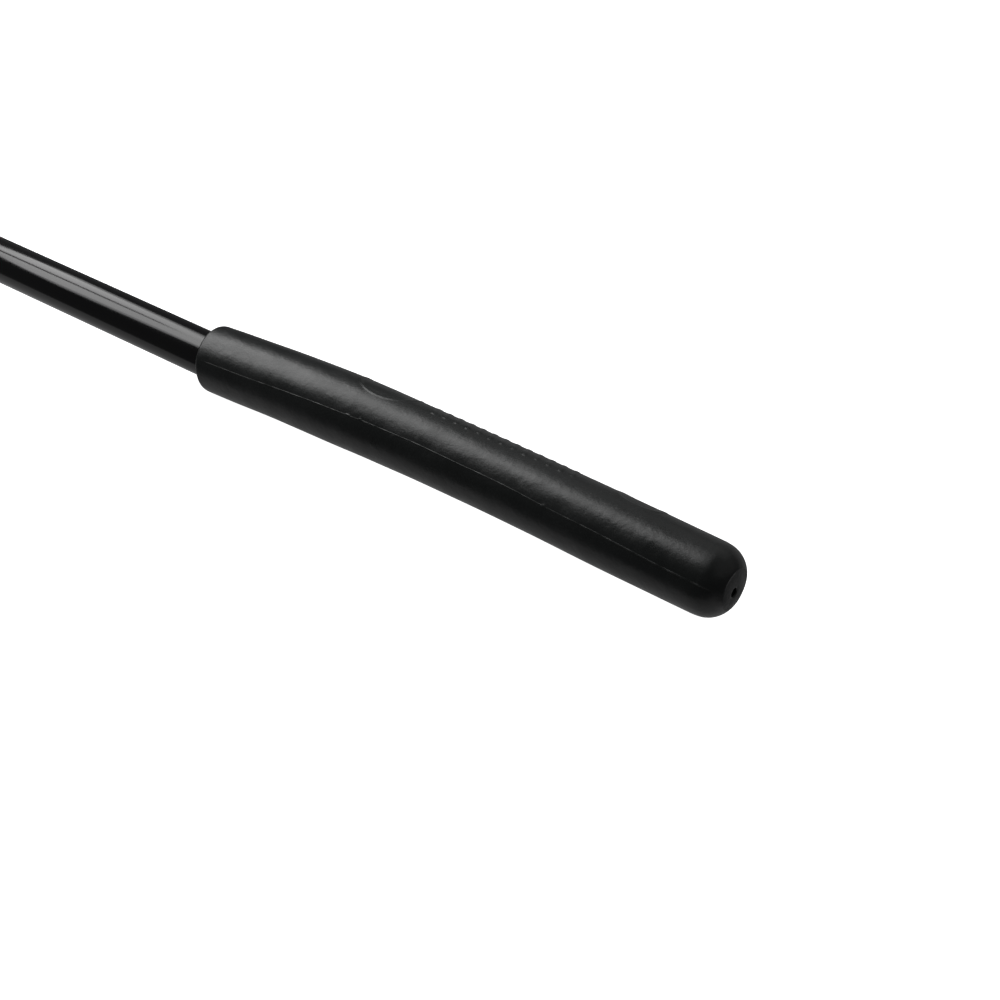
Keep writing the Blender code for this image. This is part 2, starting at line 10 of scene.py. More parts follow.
import bmesh
import bpy
from mathutils import Matrix, Vector, noise


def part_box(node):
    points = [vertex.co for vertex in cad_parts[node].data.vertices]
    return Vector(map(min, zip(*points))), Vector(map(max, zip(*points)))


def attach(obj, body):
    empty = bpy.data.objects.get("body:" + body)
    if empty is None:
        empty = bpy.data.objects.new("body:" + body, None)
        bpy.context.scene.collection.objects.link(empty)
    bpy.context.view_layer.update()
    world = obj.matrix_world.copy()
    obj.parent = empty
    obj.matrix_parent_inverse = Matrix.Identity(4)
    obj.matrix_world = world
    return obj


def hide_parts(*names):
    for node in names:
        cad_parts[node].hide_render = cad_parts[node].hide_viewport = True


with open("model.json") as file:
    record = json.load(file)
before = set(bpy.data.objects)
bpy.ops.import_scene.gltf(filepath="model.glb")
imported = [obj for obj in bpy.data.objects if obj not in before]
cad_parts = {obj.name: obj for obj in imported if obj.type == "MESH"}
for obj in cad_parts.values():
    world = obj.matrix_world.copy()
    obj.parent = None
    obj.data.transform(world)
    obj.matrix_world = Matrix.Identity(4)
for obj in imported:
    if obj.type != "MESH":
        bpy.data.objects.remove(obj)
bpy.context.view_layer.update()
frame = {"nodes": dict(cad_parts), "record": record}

MM = 0.001


# ---------------------------------------------------------------- measures read from the frame


def span(node, axis):
    """Lowest and highest coordinate of a CAD node along an axis, in mm."""
    low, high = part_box(node)
    return low[axis] / MM, high[axis] / MM


BUTT_X = span("grip", 0)[1]
AXIS_Z = sum(span("outer_tube", 2)) / 2
GRIP_LENGTH = BUTT_X - span("grip", 0)[0]
OUTER_RADIUS = span("outer_tube", 1)[1]
SECTIONS = 6


def x_of(station):
    """The x of a station, in mm."""
    return BUTT_X - station


def stations_of(node):
    """Where a CAD node starts and ends along the pole, as stations."""
    low, high = span(node, 0)
    return BUTT_X - high, BUTT_X - low


# ---------------------------------------------------------------- small geometry helpers

WELD_DISTANCE = 0.001
NEARLY_STRAIGHT = math.radians(89)  # half the angle at a corner that gets no arc
EDGE_SHARE = 0.48  # the most of an outline's edge that one corner's arc may take
BEVEL_STEPS = 3
EASE_ANGLE = 35.0  # degrees an edge turns by before it is eased


def along(pairs, at):
    """A smooth curve through (place, value) pairs, read at a place between them."""
    last = len(pairs) - 1
    for i in range(last):
        if at <= pairs[i + 1][0] or i == last - 1:
            break
    slopes = []
    for k in (i, i + 1):
        (left, low), (right, high) = pairs[max(k - 1, 0)], pairs[min(k + 1, last)]
        slopes.append((high - low) / (right - left))
    (start, first), (end, second) = pairs[i], pairs[i + 1]
    reach = end - start
    t = (at - start) / reach
    return (
        (2 * t**3 - 3 * t**2 + 1) * first
        + (t**3 - 2 * t**2 + t) * reach * slopes[0]
        + (3 * t**2 - 2 * t**3) * second
        + (t**3 - t**2) * reach * slopes[1]
    )


def smooth_step(low, high, value):
    """0 up to low, 1 from high on, and a smooth rise between them."""
    t = min(max((value - low) / (high - low), 0.0), 1.0)
    return t * t * (3 - 2 * t)


def bump_of(distance, half_width):
    """A rounded ridge's height, from 1 at its middle to 0 at its half width."""
    t = abs(distance) / half_width
    return 0.0 if t >= 1 else (1 - t * t) ** 2


def spread(low, high, pitch):
    """Even steps from low to high, about pitch apart, both ends included."""
    count = max(1, round(abs(high - low) / pitch))
    return [low + (high - low) * k / count for k in range(count + 1)]


def add_mesh(name, points, faces, finish=None):
    """A smooth-shaded mesh object whose points are in mm."""
    mesh = bpy.data.meshes.new(name)
    mesh.from_pydata([[c * MM for c in point] for point in points], [], faces)
    mesh.update()
    obj = bpy.data.objects.new(name, mesh)
    bpy.context.scene.collection.objects.link(obj)
    if finish:
        mesh.materials.append(finish)
    mesh.shade_smooth()
    return obj


def place(obj, body, node=None):
    """Puts a finished piece on its body, in place of its CAD node if it has one."""
    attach(obj, body)
    if node:
        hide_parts(node)


def ring_faces(rows, around, closed=True):
    """Quads between neighbouring rows of points, and from the last row to the first if closed."""
    faces = []
    for i in range(rows if closed else rows - 1):
        row, after = i * around, (i + 1) % rows * around
        for k in range(around):
            k2 = (k + 1) % around
            faces.append((row + k, row + k2, after + k2, after + k))
    return faces


def face_outward(obj, weld=False):
    """Turns every face of a closed mesh outward, after welding points that meet."""
    mesh = bmesh.new()
    mesh.from_mesh(obj.data)
    if weld:
        bmesh.ops.remove_doubles(mesh, verts=mesh.verts, dist=WELD_DISTANCE * MM)
    bmesh.ops.recalc_face_normals(mesh, faces=mesh.faces)
    mesh.to_mesh(obj.data)
    mesh.free()


def crease(obj, degrees):
    """Edges that turn by more than this stay sharp in a smooth-shaded mesh."""
    obj.data.set_sharp_from_angle(angle=math.radians(degrees))


def rounded(corners, steps=4):
    """A closed outline through (u, v, radius) corners, with an arc at each that has a radius."""
    outline = []
    count = len(corners)
    for i, (u, v, radius) in enumerate(corners):
        here = Vector((u, v))
        before = Vector(corners[i - 1][:2]) - here
        after = Vector(corners[(i + 1) % count][:2]) - here
        half = before.angle(after) / 2
        if radius <= 0 or half > NEARLY_STRAIGHT:
            outline.append((u, v))
            continue
        reach = min(radius / math.tan(half), before.length * EDGE_SHARE, after.length * EDGE_SHARE)
        r = reach * math.tan(half)
        centre = here + (before.normalized() + after.normalized()).normalized() * (r / math.sin(half))
        start = here + before.normalized() * reach - centre
        sweep = start.angle_signed(here + after.normalized() * reach - centre)
        for k in range(steps + 1):
            outline.append(tuple(centre + Matrix.Rotation(-sweep * k / steps, 2) @ start))
    return outline


def softened(profile, radius, steps=3):
    """A closed (u, v) profile with the same small arc at each corner."""
    return rounded([(u, v, radius) for u, v in profile], steps)


def box_outline(low_u, high_u, low_v, high_v, radius):
    """A closed rectangle with rounded corners."""
    corners = ((low_u, low_v), (high_u, low_v), (high_u, high_v), (low_u, high_v))
    return softened(corners, radius, 5)


# How an outline's two coordinates and its depth become x, y and z
PLANES = {
    "side": lambda u, v, w: (x_of(u), w, v),  # outline of (station, z), depth along Y
    "plan": lambda u, v, w: (x_of(u), v, w),  # outline of (station, y), depth along Z
    "end": lambda u, v, w: (x_of(w), u, v),  # outline of (y, z), depth along the stations
}


def prism(name, plane, outline, low, high, finish=None, low_round=0.0, high_round=0.0):
    """An outline drawn out from one depth to another, its end edges rounded."""
    count = len(outline)
    points = [PLANES[plane](u, v, depth) for depth in (low, high) for u, v in outline]
    faces = [tuple(range(count)), tuple(range(count, 2 * count))]
    faces += [(k, (k + 1) % count, count + (k + 1) % count, count + k) for k in range(count)]
    obj = add_mesh(name, points, faces, finish)
    mesh = bmesh.new()
    mesh.from_mesh(obj.data)
    bmesh.ops.recalc_face_normals(mesh, faces=mesh.faces)
    mesh.faces.ensure_lookup_table()
    ends = [list(mesh.faces[0].edges), list(mesh.faces[1].edges)]
    for edges, radius in zip(ends, (low_round, high_round)):
        if radius:
            bmesh.ops.bevel(
                mesh, geom=edges, offset=radius * MM, segments=BEVEL_STEPS, profile=0.5, affect="EDGES"
            )
    mesh.to_mesh(obj.data)
    mesh.free()
    return obj


def turned(name, profile, finish=None, around=72, about=None):
    """A ring-shaped piece from a closed (place, radius) profile.

    It turns about the pole, its places being stations; or, with about=(axis, u, v), about an
    X line through y=u, z=v or a Y line through station u, z=v, its places then being y.
    """
    axis, centre_u, centre_v = about or ("X", 0.0, AXIS_Z)
    solid = profile[0][1] == 0 and profile[-1][1] == 0
    points = []
    for at, radius in profile:
        for k in range(around):
            turn = 2 * math.pi * k / around
            u, v = radius * math.sin(turn), centre_v + radius * math.cos(turn)
            points.append((x_of(at), centre_u + u, v) if axis == "X" else (x_of(centre_u) + u, at, v))
    faces = [(a, d, c, b) for a, b, c, d in ring_faces(len(profile), around, not solid)]
    obj = add_mesh(name, points, faces, finish)
    face_outward(obj, solid)
    crease(obj, 40)
    return obj


def swept(name, path, radius, finish, around=12):
    """A round wire along a path of points in mm, closed at both ends."""
    path = [Vector(point) for point in path]
    side = (path[1] - path[0]).orthogonal().normalized()
    points = []
    for i, centre in enumerate(path):
        ahead = (path[min(i + 1, len(path) - 1)] - path[max(i - 1, 0)]).normalized()
        side = (side - ahead * side.dot(ahead)).normalized()
        across = ahead.cross(side)
        for k in range(around):
            turn = 2 * math.pi * k / around
            points.append(centre + side * radius * math.cos(turn) + across * radius * math.sin(turn))
    last = (len(path) - 1) * around
    faces = ring_faces(len(path), around, closed=False)
    faces += [tuple(reversed(range(around))), tuple(range(last, last + around))]
    return add_mesh(name, points, faces, finish)


def join_or_cut(obj, others, operation="DIFFERENCE"):
    """Boolean of a piece with helpers, which are removed afterwards."""
    for other in others:
        modifier = obj.modifiers.new("boolean", "BOOLEAN")
        modifier.object = other
        modifier.operation = operation
        modifier.solver = "MANIFOLD"
    bpy.context.view_layer.update()
    shaped = bpy.data.meshes.new_from_object(obj.evaluated_get(bpy.context.evaluated_depsgraph_get()))
    obj.modifiers.clear()
    obj.data = shaped
    for other in others:
        bpy.data.objects.remove(other)


def ease_edges(obj, width):
    """Small rounds on a moulding's edges, its large faces still shading flat."""
    bevel = obj.modifiers.new("eased_edges", "BEVEL")
    bevel.width = width * MM
    bevel.segments = 2
    bevel.limit_method = "ANGLE"
    bevel.angle_limit = math.radians(EASE_ANGLE)
    bevel.use_clamp_overlap = True
    obj.data.shade_smooth()
    obj.modifiers.new("face_normals", "WEIGHTED_NORMAL").keep_sharp = True


# ---------------------------------------------------------------- materials


class Recipe:
    """A node tree being written: each call adds a node and returns the output that matters."""

    def __init__(self, name):
        self.material = bpy.data.materials.new(name)
        self.material.use_nodes = True
        self.tree = self.material.node_tree
        self.shader = self.tree.nodes["Principled BSDF"]
        self.place = self.add("ShaderNodeTexCoord").outputs["Object"]

    def add(self, kind, **settings):
        node = self.tree.nodes.new(kind)
        for key, value in settings.items():
            setattr(node, key, value)
        return node

    def link(self, source, target):
        self.tree.links.new(source, target)

    def set(self, **values):
        """Sets sockets of the shader; underscores in a name stand for spaces."""
        for key, value in values.items():
            self.shader.inputs[key.replace("_", " ")].default_value = value

    def stretched(self, scale):
        """The object's coordinates, scaled along each axis."""
        mapping = self.add("ShaderNodeMapping")
        mapping.inputs["Scale"].default_value = scale
        self.link(self.place, mapping.inputs["Vector"])
        return mapping.outputs["Vector"]

    def noise(self, scale, detail=3.0, rough=0.5, vector=None):
        """Cloudy noise between 0 and 1, with scale features to a metre."""
        node = self.add("ShaderNodeTexNoise")
        node.inputs["Scale"].default_value = scale
        node.inputs["Detail"].default_value = detail
        node.inputs["Roughness"].default_value = rough
        self.link(vector or self.place, node.inputs["Vector"])
        return node.outputs["Fac"]

    def specks(self, scale, size):
        """1 in small scattered dots, 0 between them."""
        node = self.add("ShaderNodeTexVoronoi")
        node.inputs["Scale"].default_value = scale
        self.link(self.place, node.inputs["Vector"])
        return self.ramp(node.outputs["Distance"], size, size * 0.5)

    def ramp(self, value, low, high, to_low=0.0, to_high=1.0):
        """Maps value from low..high to to_low..to_high, held at both ends."""
        node = self.add("ShaderNodeMapRange")
        for key, number in (("From Min", low), ("From Max", high), ("To Min", to_low), ("To Max", to_high)):
            node.inputs[key].default_value = number
        self.link(value, node.inputs["Value"])
        return node.outputs["Result"]

    def math(self, operation, first, second):
        node = self.add("ShaderNodeMath", operation=operation)
        for socket, value in zip(node.inputs, (first, second)):
            if isinstance(value, (int, float)):
                socket.default_value = value
            else:
                self.link(value, socket)
        return node.outputs["Value"]

    def mix(self, factor, first, second):
        node = self.add("ShaderNodeMix", data_type="RGBA")
        for name, value in (("Factor", factor), ("A", first), ("B", second)):
            socket = next(s for s in node.inputs if s.name == name and s.enabled)
            if isinstance(value, (tuple, float)):
                socket.default_value = value
            else:
                self.link(value, socket)
        return next(s for s in node.outputs if s.enabled)

    def colour(self, source):
        self.link(source, self.shader.inputs["Base Color"])

    def roughness(self, source):
        self.link(source, self.shader.inputs["Roughness"])

    def bump(self, height, distance, strength, under=None):
        """Relief of a height in mm over the relief under it, now the shader's normal."""
        node = self.add("ShaderNodeBump")
        node.inputs["Distance"].default_value = distance * MM
        node.inputs["Strength"].default_value = strength
        self.link(height, node.inputs["Height"])
        if under:
            self.link(under, node.inputs["Normal"])
        self.link(node.outputs["Normal"], self.shader.inputs["Normal"])
        return node.outputs["Normal"]


def grey(value, tint=0.0):
    """A near-neutral colour, a little cool for a positive tint."""
    return (value * (1 - tint), value, value * (1 + tint), 1.0)


def rubber_finish():
    """Moulded black rubber: fine grain, cloudy smears in its sheen, and a little pale dust."""
    recipe = Recipe("moulded_rubber")
    recipe.set(IOR=1.5)
    smear = recipe.noise(28, 4, 0.55, recipe.stretched((0.45, 1.0, 1.0)))
    cloud = recipe.ramp(recipe.noise(170, 4, 0.6, recipe.stretched((0.7, 1.0, 1.0))), 0.3, 0.7, 0.24, 0.36)
    dust = recipe.math("MULTIPLY", recipe.specks(420, 0.10), recipe.ramp(recipe.noise(60), 0.52, 0.66))
    base = recipe.mix(recipe.ramp(smear, 0.35, 0.7), (0.0064, 0.0078, 0.0074, 1), (0.0094, 0.011, 0.0106, 1))
    recipe.colour(recipe.mix(dust, base, grey(0.05)))
    recipe.roughness(recipe.math("ADD", recipe.ramp(smear, 0.3, 0.72, 0.0, 0.07), cloud))
    under = recipe.bump(recipe.noise(110, 2), 0.3, 0.8)
    under = recipe.bump(recipe.noise(480, 4, 0.65), 0.12, 0.9, under)
    recipe.bump(recipe.noise(2600, 2), 0.006, 0.5, under)
    return recipe.material


def enamel_finish():
    """Gloss black enamel on the outer tube, with faint orange peel and fine rubbed lines."""
    recipe = Recipe("gloss_enamel")
    recipe.set(IOR=1.5)
    lines = recipe.noise(900, 2, 0.5, recipe.stretched((0.012, 1.0, 1.0)))
    haze = recipe.noise(45, 3, 0.5, recipe.stretched((0.4, 1.0, 1.0)))
    recipe.colour(recipe.mix(recipe.ramp(haze, 0.4, 0.7), grey(0.0022, 0.06), grey(0.0036, 0.04)))
    recipe.roughness(recipe.ramp(lines, 0.35, 0.75, 0.11, 0.17))
    under = recipe.bump(recipe.noise(260, 2), 0.004, 0.5)
    recipe.bump(lines, 0.002, 0.4, under)
    return recipe.material


def bright_tube_finish():
    """Drawn aluminium: lines along the tube and slight clouding."""
    recipe = Recipe("drawn_aluminium")
    recipe.set(Metallic=1.0)
    lines = recipe.noise(1500, 3, 0.6, recipe.stretched((0.006, 1.0, 1.0)))
    cloud = recipe.noise(35, 3)
    recipe.colour(recipe.mix(recipe.ramp(cloud, 0.3, 0.7), grey(0.62, 0.01), grey(0.74, 0.012)))
    recipe.roughness(recipe.ramp(lines, 0.3, 0.75, 0.16, 0.34))
    recipe.bump(lines, 0.003, 0.5)
    return recipe.material


def nylon_finish(name, low, high, shine=0.4):
    """Moulded plastic with a fine spark-eroded grain, between two greys."""
    recipe = Recipe(name)
    recipe.set(IOR=1.5)
    cloud = recipe.noise(70, 3)
    grain = recipe.noise(1900, 2)
    recipe.colour(recipe.mix(recipe.ramp(cloud, 0.3, 0.7), low, high))
    recipe.roughness(recipe.ramp(cloud, 0.3, 0.7, shine, shine + 0.1))
    recipe.bump(grain, 0.012, 0.5)
    return recipe.material


def orange_finish():
    """Glossy orange moulding: flow clouding, fine scuffs and a light grain."""
    recipe = Recipe("orange_moulding")
    recipe.set(IOR=1.48)
    flow = recipe.noise(60, 3, 0.5, recipe.stretched((0.4, 1.0, 1.0)))
    scuffs = recipe.noise(900, 3, 0.55, recipe.stretched((0.3, 1.0, 0.6)))
    recipe.colour(recipe.mix(recipe.ramp(flow, 0.3, 0.7), (0.78, 0.105, 0.008, 1), (0.86, 0.15, 0.012, 1)))
    recipe.roughness(recipe.ramp(scuffs, 0.35, 0.75, 0.3, 0.37))
    recipe.bump(recipe.noise(1500, 2), 0.006, 0.5)
    return recipe.material


def steel_finish():
    """Turned and drawn steel for the small hardware."""
    recipe = Recipe("bright_steel")
    recipe.set(Metallic=1.0)
    marks = recipe.noise(2400, 3, 0.6)
    recipe.colour(recipe.mix(recipe.ramp(recipe.noise(300), 0.3, 0.7), grey(0.46, 0.02), grey(0.6, 0.02)))
    recipe.roughness(recipe.ramp(marks, 0.3, 0.7, 0.2, 0.36))
    recipe.bump(marks, 0.003, 0.4)
    return recipe.material


RUBBER = rubber_finish()
ENAMEL = enamel_finish()
BRIGHT = bright_tube_finish()
NYLON = nylon_finish("black_nylon_moulding", grey(0.008, 0.03), grey(0.014, 0.02))
ACETAL = nylon_finish("natural_acetal_moulding", (0.6, 0.58, 0.52, 1), (0.7, 0.68, 0.62, 1), 0.35)
ORANGE = orange_finish()
STEEL = steel_finish()


# ---------------------------------------------------------------- grip

# Radius, and rise of its centre over the tube's axis, at distances from the front lip
GRIP_RADII = ((0, 15.0), (15, 15.27), (45, 15.54), (75, 15.82), (120, 15.33), (170, 15.2))
GRIP_RADII += ((215, 15.35), (267, 15.0))
GRIP_RISES = ((0, 0.1), (15, 0.88), (45, 2.43), (95, 3.75), (165, 3.75), (215, 2.85), (267, 2.0))
LIP_ROUND = 1.3
LIP_LEAN = 0.127  # the lip isn't square to the bow: its top leans this many radians to the front
LIP_LEAN_REACH = 40.0  # the lean and the step forward fade out over this length
LIP_FORWARD = 1.25
BORE_SLACK = 0.12
BORE_LIP = 0.5  # the bore opens by this much at the lip
BUTT_WALL = 14.0
DOME_LENGTH = 11.3
DOME_RADIUS = 15.0
DOME_FLAT = 8.65
DOME_FULLNESS = (0.87, 1.54)  # powers of the sine along the dome and of the cosine across it
FACE_CROWN = 0.4  # the end face is proud by this at its middle
VENT_RADIUS = 1.9
VENT_RISE = 0.9
VENT_ROUND = 0.45
VENT_SINK = 0.02  # the vent's round starts this far under the end face

# Degrees round the grip from its top, and about how far apart its columns of points are there:
# close together at the mark and at the seam
COLUMN_PITCHES = ((0, 44, 1.4), (44, 87, 4.0), (87, 93, 0.5), (93, 180, 5.5))
# Where a closer pitch of the rings of points starts and ends, from the lip
FINE_FROM, FINE_TO = 72.0, 230.0
FINE_PITCH, RING_PITCH = 0.6, 1.0
LIP_STEPS, DOME_STEPS, FACE_STEPS, VENT_STEPS = 6, 24, 7, 4

# The raised mark is two plain rings with a row of slanted ribs between them
MARK_RINGS = ((92.5, 15.0, 10.5), (218.0, 11.0, 5.8))  # middle, half length, half width
RIB_MIDDLE = 152.0
RIB_COUNT = 13
RIB_PITCH = 5.8
RIB_SLANT = 0.35
RIB_REACH = 7.2
RIB_HALF_WIDTH = 1.7
RIB_END = 0.7  # a rib runs out over this length
RING_HEIGHT = 0.18
RING_HALF_WIDTH = 0.8
RIB_HEIGHT = 0.32

SKIN_WAVE = 0.07  # height of the moulding's slow unevenness
SEAM_HEIGHT = 0.15
SEAM_HALF_WIDTH = 0.34
SEAM_TORN = (95.0, 26.0)  # middle and half length of the stretch where it is torn
SEAM_RISES = (200.0, 230.0)  # it grows prouder between these distances from the lip
# How far over the grip's widest line the seam runs, at distances from the lip
SEAM_COURSE = ((0, -1.1), (30, -1.05), (50, -0.5), (68, 0.1), (85, 0.45), (97, 0.9), (112, 1.05))
SEAM_COURSE += ((155, 0.9), (175, 0.45), (190, 0.05), (222, -0.6), (245, -1.35), (267, -1.6))


def ring_ridge(v, arc):
    """Height share of the rings at v from the lip and arc round from the grip's top."""
    height = 0.0
    for middle, long, wide in MARK_RINGS:
        out = math.hypot((v - middle) / long, arc / wide) * wide
        height = max(height, bump_of(out - wide, RING_HALF_WIDTH))
    return height


def rib_ridge(v, arc):
    """Height share of the row of slanted ribs, lower on the grip's top and uneven in length."""
    shifted = v - RIB_MIDDLE - RIB_SLANT * arc
    k = round(shifted / RIB_PITCH)
    if abs(k) > RIB_COUNT // 2:
        return 0.0
    ends = 1 - smooth_step(RIB_REACH - RIB_END, RIB_REACH, abs(arc) + 0.3 * math.sin(k * 2.4))
    low_on_top = 0.5 + 0.6 * smooth_step(2.0, 5.5, abs(arc))
    return low_on_top * ends * smooth_step(0.0, 0.8, bump_of(shifted - k * RIB_PITCH, RIB_HALF_WIDTH))


def seam_ridge(v, arc_from_seam, side):
    """The mould's parting line: a thin flash, wavy, nicked near the front, proudest near the butt."""
    wander = 0.2 * noise.noise(Vector((v * 0.045, side * 7.0, 0.0)))
    torn = smooth_step(0.15, 0.45, noise.noise(Vector((v * 0.9, side * 3.0, 4.0))))
    worn = 1.0 - torn * bump_of(v - SEAM_TORN[0], SEAM_TORN[1])
    proud = 1.0 + 0.35 * smooth_step(*SEAM_RISES, v)
    level = 0.75 + 0.6 * noise.noise(Vector((v * 0.25, side * 5.0, 9.0)))
    return worn * proud * level * bump_of(arc_from_seam - wander, SEAM_HALF_WIDTH)


# Flash left by the mould and scratches: distance from the lip, height over the seam, length along
# the grip and round it, and how far it stands out
FLAWS = (
    (86.0, 0.25, 1.6, 0.55, 0.3),
    (92.5, 0.3, 0.9, 0.6, 0.22),
    (100.8, -8.0, 1.3, 0.4, 0.1),
    (103.6, -8.6, 1.2, 0.4, 0.1),
    (106.4, -10.2, 1.5, 0.4, 0.1),
    (110.0, -0.9, 0.6, 0.6, 0.16),
    (186.5, 0.2, 0.8, 0.7, 0.24),
    (208.0, 17.6, 1.2, 0.6, 0.14),
    (258.2, 1.9, 0.7, 0.7, 0.2),
    (236.0, 7.5, 0.8, 0.6, 0.08),
)


def flaw_height(v, above_seam):
    """How far the flaws stand out at v from the lip and a height over the seam."""
    height = 0.0
    for at, over, long, wide, proud in FLAWS:
        height = max(height, proud * bump_of(math.hypot((v - at) / long, (above_seam - over) / wide), 1.0))
    return height


def grip_height(v, angle, radius, from_seam):
    """What stands out of the grip's plain side, in mm. The angle is 0 on top and grows to -Y."""
    arc = angle * radius
    side = 1 if angle > 0 else -1
    fade = smooth_step(2.5, 9.0, v) * smooth_step(2.0, 6.5, GRIP_LENGTH - v)
    mark = max(RING_HEIGHT * ring_ridge(v, arc), RIB_HEIGHT * rib_ridge(v, arc))
    seam = SEAM_HEIGHT * seam_ridge(v, from_seam, side) * fade
    flaw = flaw_height(v, -from_seam) if side > 0 else 0.0
    here = Vector((v * 0.05, math.cos(angle) * 0.9, math.sin(angle) * 0.9))
    return max(mark, seam, flaw) + SKIN_WAVE * noise.noise(here) * fade


def grip_angles():
    """Angles round the grip, from just past -180 to 180 degrees, the same on both sides."""
    angles = []
    for low, high, pitch in COLUMN_PITCHES:
        angles += [math.radians(a) for a in spread(low, high, pitch)][:-1]
    return [-a for a in reversed(angles[1:])] + angles + [math.pi]


def lip_share(v):
    """How much of the lip's own lean and step forward there is, from 1 at the lip to 0."""
    return max(0.0, 1 - v / LIP_LEAN_REACH) ** 2


def grip_lean(v):
    """How far the grip's cross-section leans to the front: square to its bow, askew at the lip."""
    slope = (along(GRIP_RISES, v + 1) - along(GRIP_RISES, v - 1)) / 2
    return math.atan(slope) * (1 - lip_share(v)) + LIP_LEAN * lip_share(v)


def grip_rings():
    """(distance from the lip, radius, rise of centre, lean, whether the skin's relief is on it)."""
    rings = []

    def skin(v, radius):
        rings.append((v, radius, along(GRIP_RISES, v), grip_lean(v), True))

    for k in range(LIP_STEPS + 1):
        turn = math.pi / 2 * k / LIP_STEPS
        radius = along(GRIP_RADII, LIP_ROUND) - LIP_ROUND * (1 - math.sin(turn))
        skin(LIP_ROUND * (1 - math.cos(turn)), radius)
    dome_v = GRIP_LENGTH - DOME_LENGTH
    stretches = (
        (LIP_ROUND, FINE_FROM, RING_PITCH),
        (FINE_FROM, FINE_TO, FINE_PITCH),
        (FINE_TO, dome_v, RING_PITCH),
    )
    for low, high, pitch in stretches:
        for v in spread(low, high, pitch)[1:]:
            skin(v, along(GRIP_RADII, v))
    for k in range(1, DOME_STEPS):
        turn = math.pi / 2 * k / DOME_STEPS
        reach, share = math.sin(turn) ** DOME_FULLNESS[0], math.cos(turn) ** DOME_FULLNESS[1]
        v = dome_v + (DOME_LENGTH - FACE_CROWN) * reach
        skin(v, DOME_FLAT + (DOME_RADIUS - DOME_FLAT) * share)
    vent = VENT_RADIUS + VENT_ROUND
    for k in range(FACE_STEPS):
        share = k / FACE_STEPS
        radius = DOME_FLAT * (1 - share) + vent * share
        rise = GRIP_RISES[-1][1] * (1 - share) + VENT_RISE * share
        rings.append((GRIP_LENGTH - FACE_CROWN * (radius / DOME_FLAT) ** 3, radius, rise, 0.0, False))
    for k in range(VENT_STEPS + 1):
        turn = math.pi / 2 * k / VENT_STEPS
        sink = VENT_ROUND * (1 - math.cos(turn)) + VENT_SINK
        radius = VENT_RADIUS + VENT_ROUND * (1 - math.sin(turn))
        rings.append((GRIP_LENGTH - sink, radius, VENT_RISE, 0.0, False))
    inner, bore = GRIP_LENGTH - BUTT_WALL, OUTER_RADIUS + BORE_SLACK
    rings += [(inner, VENT_RADIUS, VENT_RISE, 0.0, False), (inner, bore, 0.0, 0.0, False)]
    rings += [(3.0, bore, 0.0, 0.0, False), (BORE_LIP, bore, 0.0, LIP_LEAN, False)]
    rings.append((0.0, bore + BORE_LIP, 0.0, LIP_LEAN, False))
    return rings


def make_grip():
    """The bowed rubber grip: one closed skin, out over the butt, down the vent and along the bore."""
    angles = grip_angles()
    rings = grip_rings()
    points = []
    for v, radius, rise, lean, relief in rings:
        ahead = LIP_FORWARD * lip_share(v)
        seam_lift = along(SEAM_COURSE, v) / radius
        for even in angles:
            # The fine columns at each side follow the seam up and down
            near_seam = bump_of(abs(even) - math.pi / 2, 1.0)
            angle = even - math.copysign(1.0, even) * seam_lift * near_seam
            from_seam = (abs(even) - math.pi / 2) * radius
            r = radius + (grip_height(v, angle, radius, from_seam) if relief else 0.0)
            up = r * math.cos(angle)
            x = x_of(GRIP_LENGTH - v) - ahead - up * math.sin(lean)
            points.append((x, -r * math.sin(angle), AXIS_Z + rise + up * math.cos(lean)))
    grip = add_mesh("grip_moulding", points, ring_faces(len(rings), len(angles)), RUBBER)
    crease(grip, 50)
    place(grip, "handle", "grip")


# ---------------------------------------------------------------- tubes and collars

TUBE_WALL = 0.6
COLLAR_FIT = 0.15
SKIRT_SLACK = 0.06
COLLAR_GROOVES = 3
GROOVE_DEPTH = 0.3
GROOVE_HALF_WIDTHS = (0.55, 0.2)  # at its top and at its bottom
BODIES = {1: "handle", 2: "section_2", 3: "section_3", 4: "section_4", 5: "section_5", 6: "head"}


def tube_node(section):
    return "outer_tube" if section == 1 else f"tube_{section}"


def tube_radius(section):
    return span(tube_node(section), 1)[1]


def make_tube(section):
    """A drawn tube, its ends eased."""
    node = tube_node(section)
    tail, mouth = stations_of(node)
    outer = tube_radius(section)
    inner = outer - TUBE_WALL
    profile = softened([(tail, outer), (mouth, outer), (mouth, inner), (tail, inner)], 0.18)
    finish, slot = (ENAMEL, "black_enamel") if section == 1 else (BRIGHT, "bright_aluminium")
    tube = turned(f"{node}_drawn", profile, finish, 128 if section == 1 else 72)
    place(tube, BODIES[section], node)


def make_collar(section):
    """A moulded ferrule on a tube's mouth: grooves for the fingers, and a rolled nose."""
    node = f"{tube_node(section)}_collar"
    low, high = stations_of(node)
    outer, skirt = span(node, 1)[1], tube_radius(section) + SKIRT_SLACK
    hole = tube_radius(section + 1) + COLLAR_FIT
    mouth = stations_of(tube_node(section))[1]
    corners = [(low, skirt, 0.2), (low, outer - 0.25, 0.5)]
    pitch = (high - low - 3.0) / (COLLAR_GROOVES + 1)
    top, bottom = GROOVE_HALF_WIDTHS
    for k in range(1, COLLAR_GROOVES + 1):
        at = low + pitch * k
        for step, depth in ((-top, 0.0), (-bottom, GROOVE_DEPTH), (bottom, GROOVE_DEPTH), (top, 0.0)):
            corners.append((at + step, outer - depth, 0.15))
    corners += [(high, outer, 1.3), (high, hole, 0.35)]
    corners += [(mouth + 0.1, hole, 0.1), (mouth + 0.1, skirt, 0.1)]
    collar = turned(f"{node}_moulding", rounded(corners, 3), NYLON, 72)
    place(collar, BODIES[section], node)


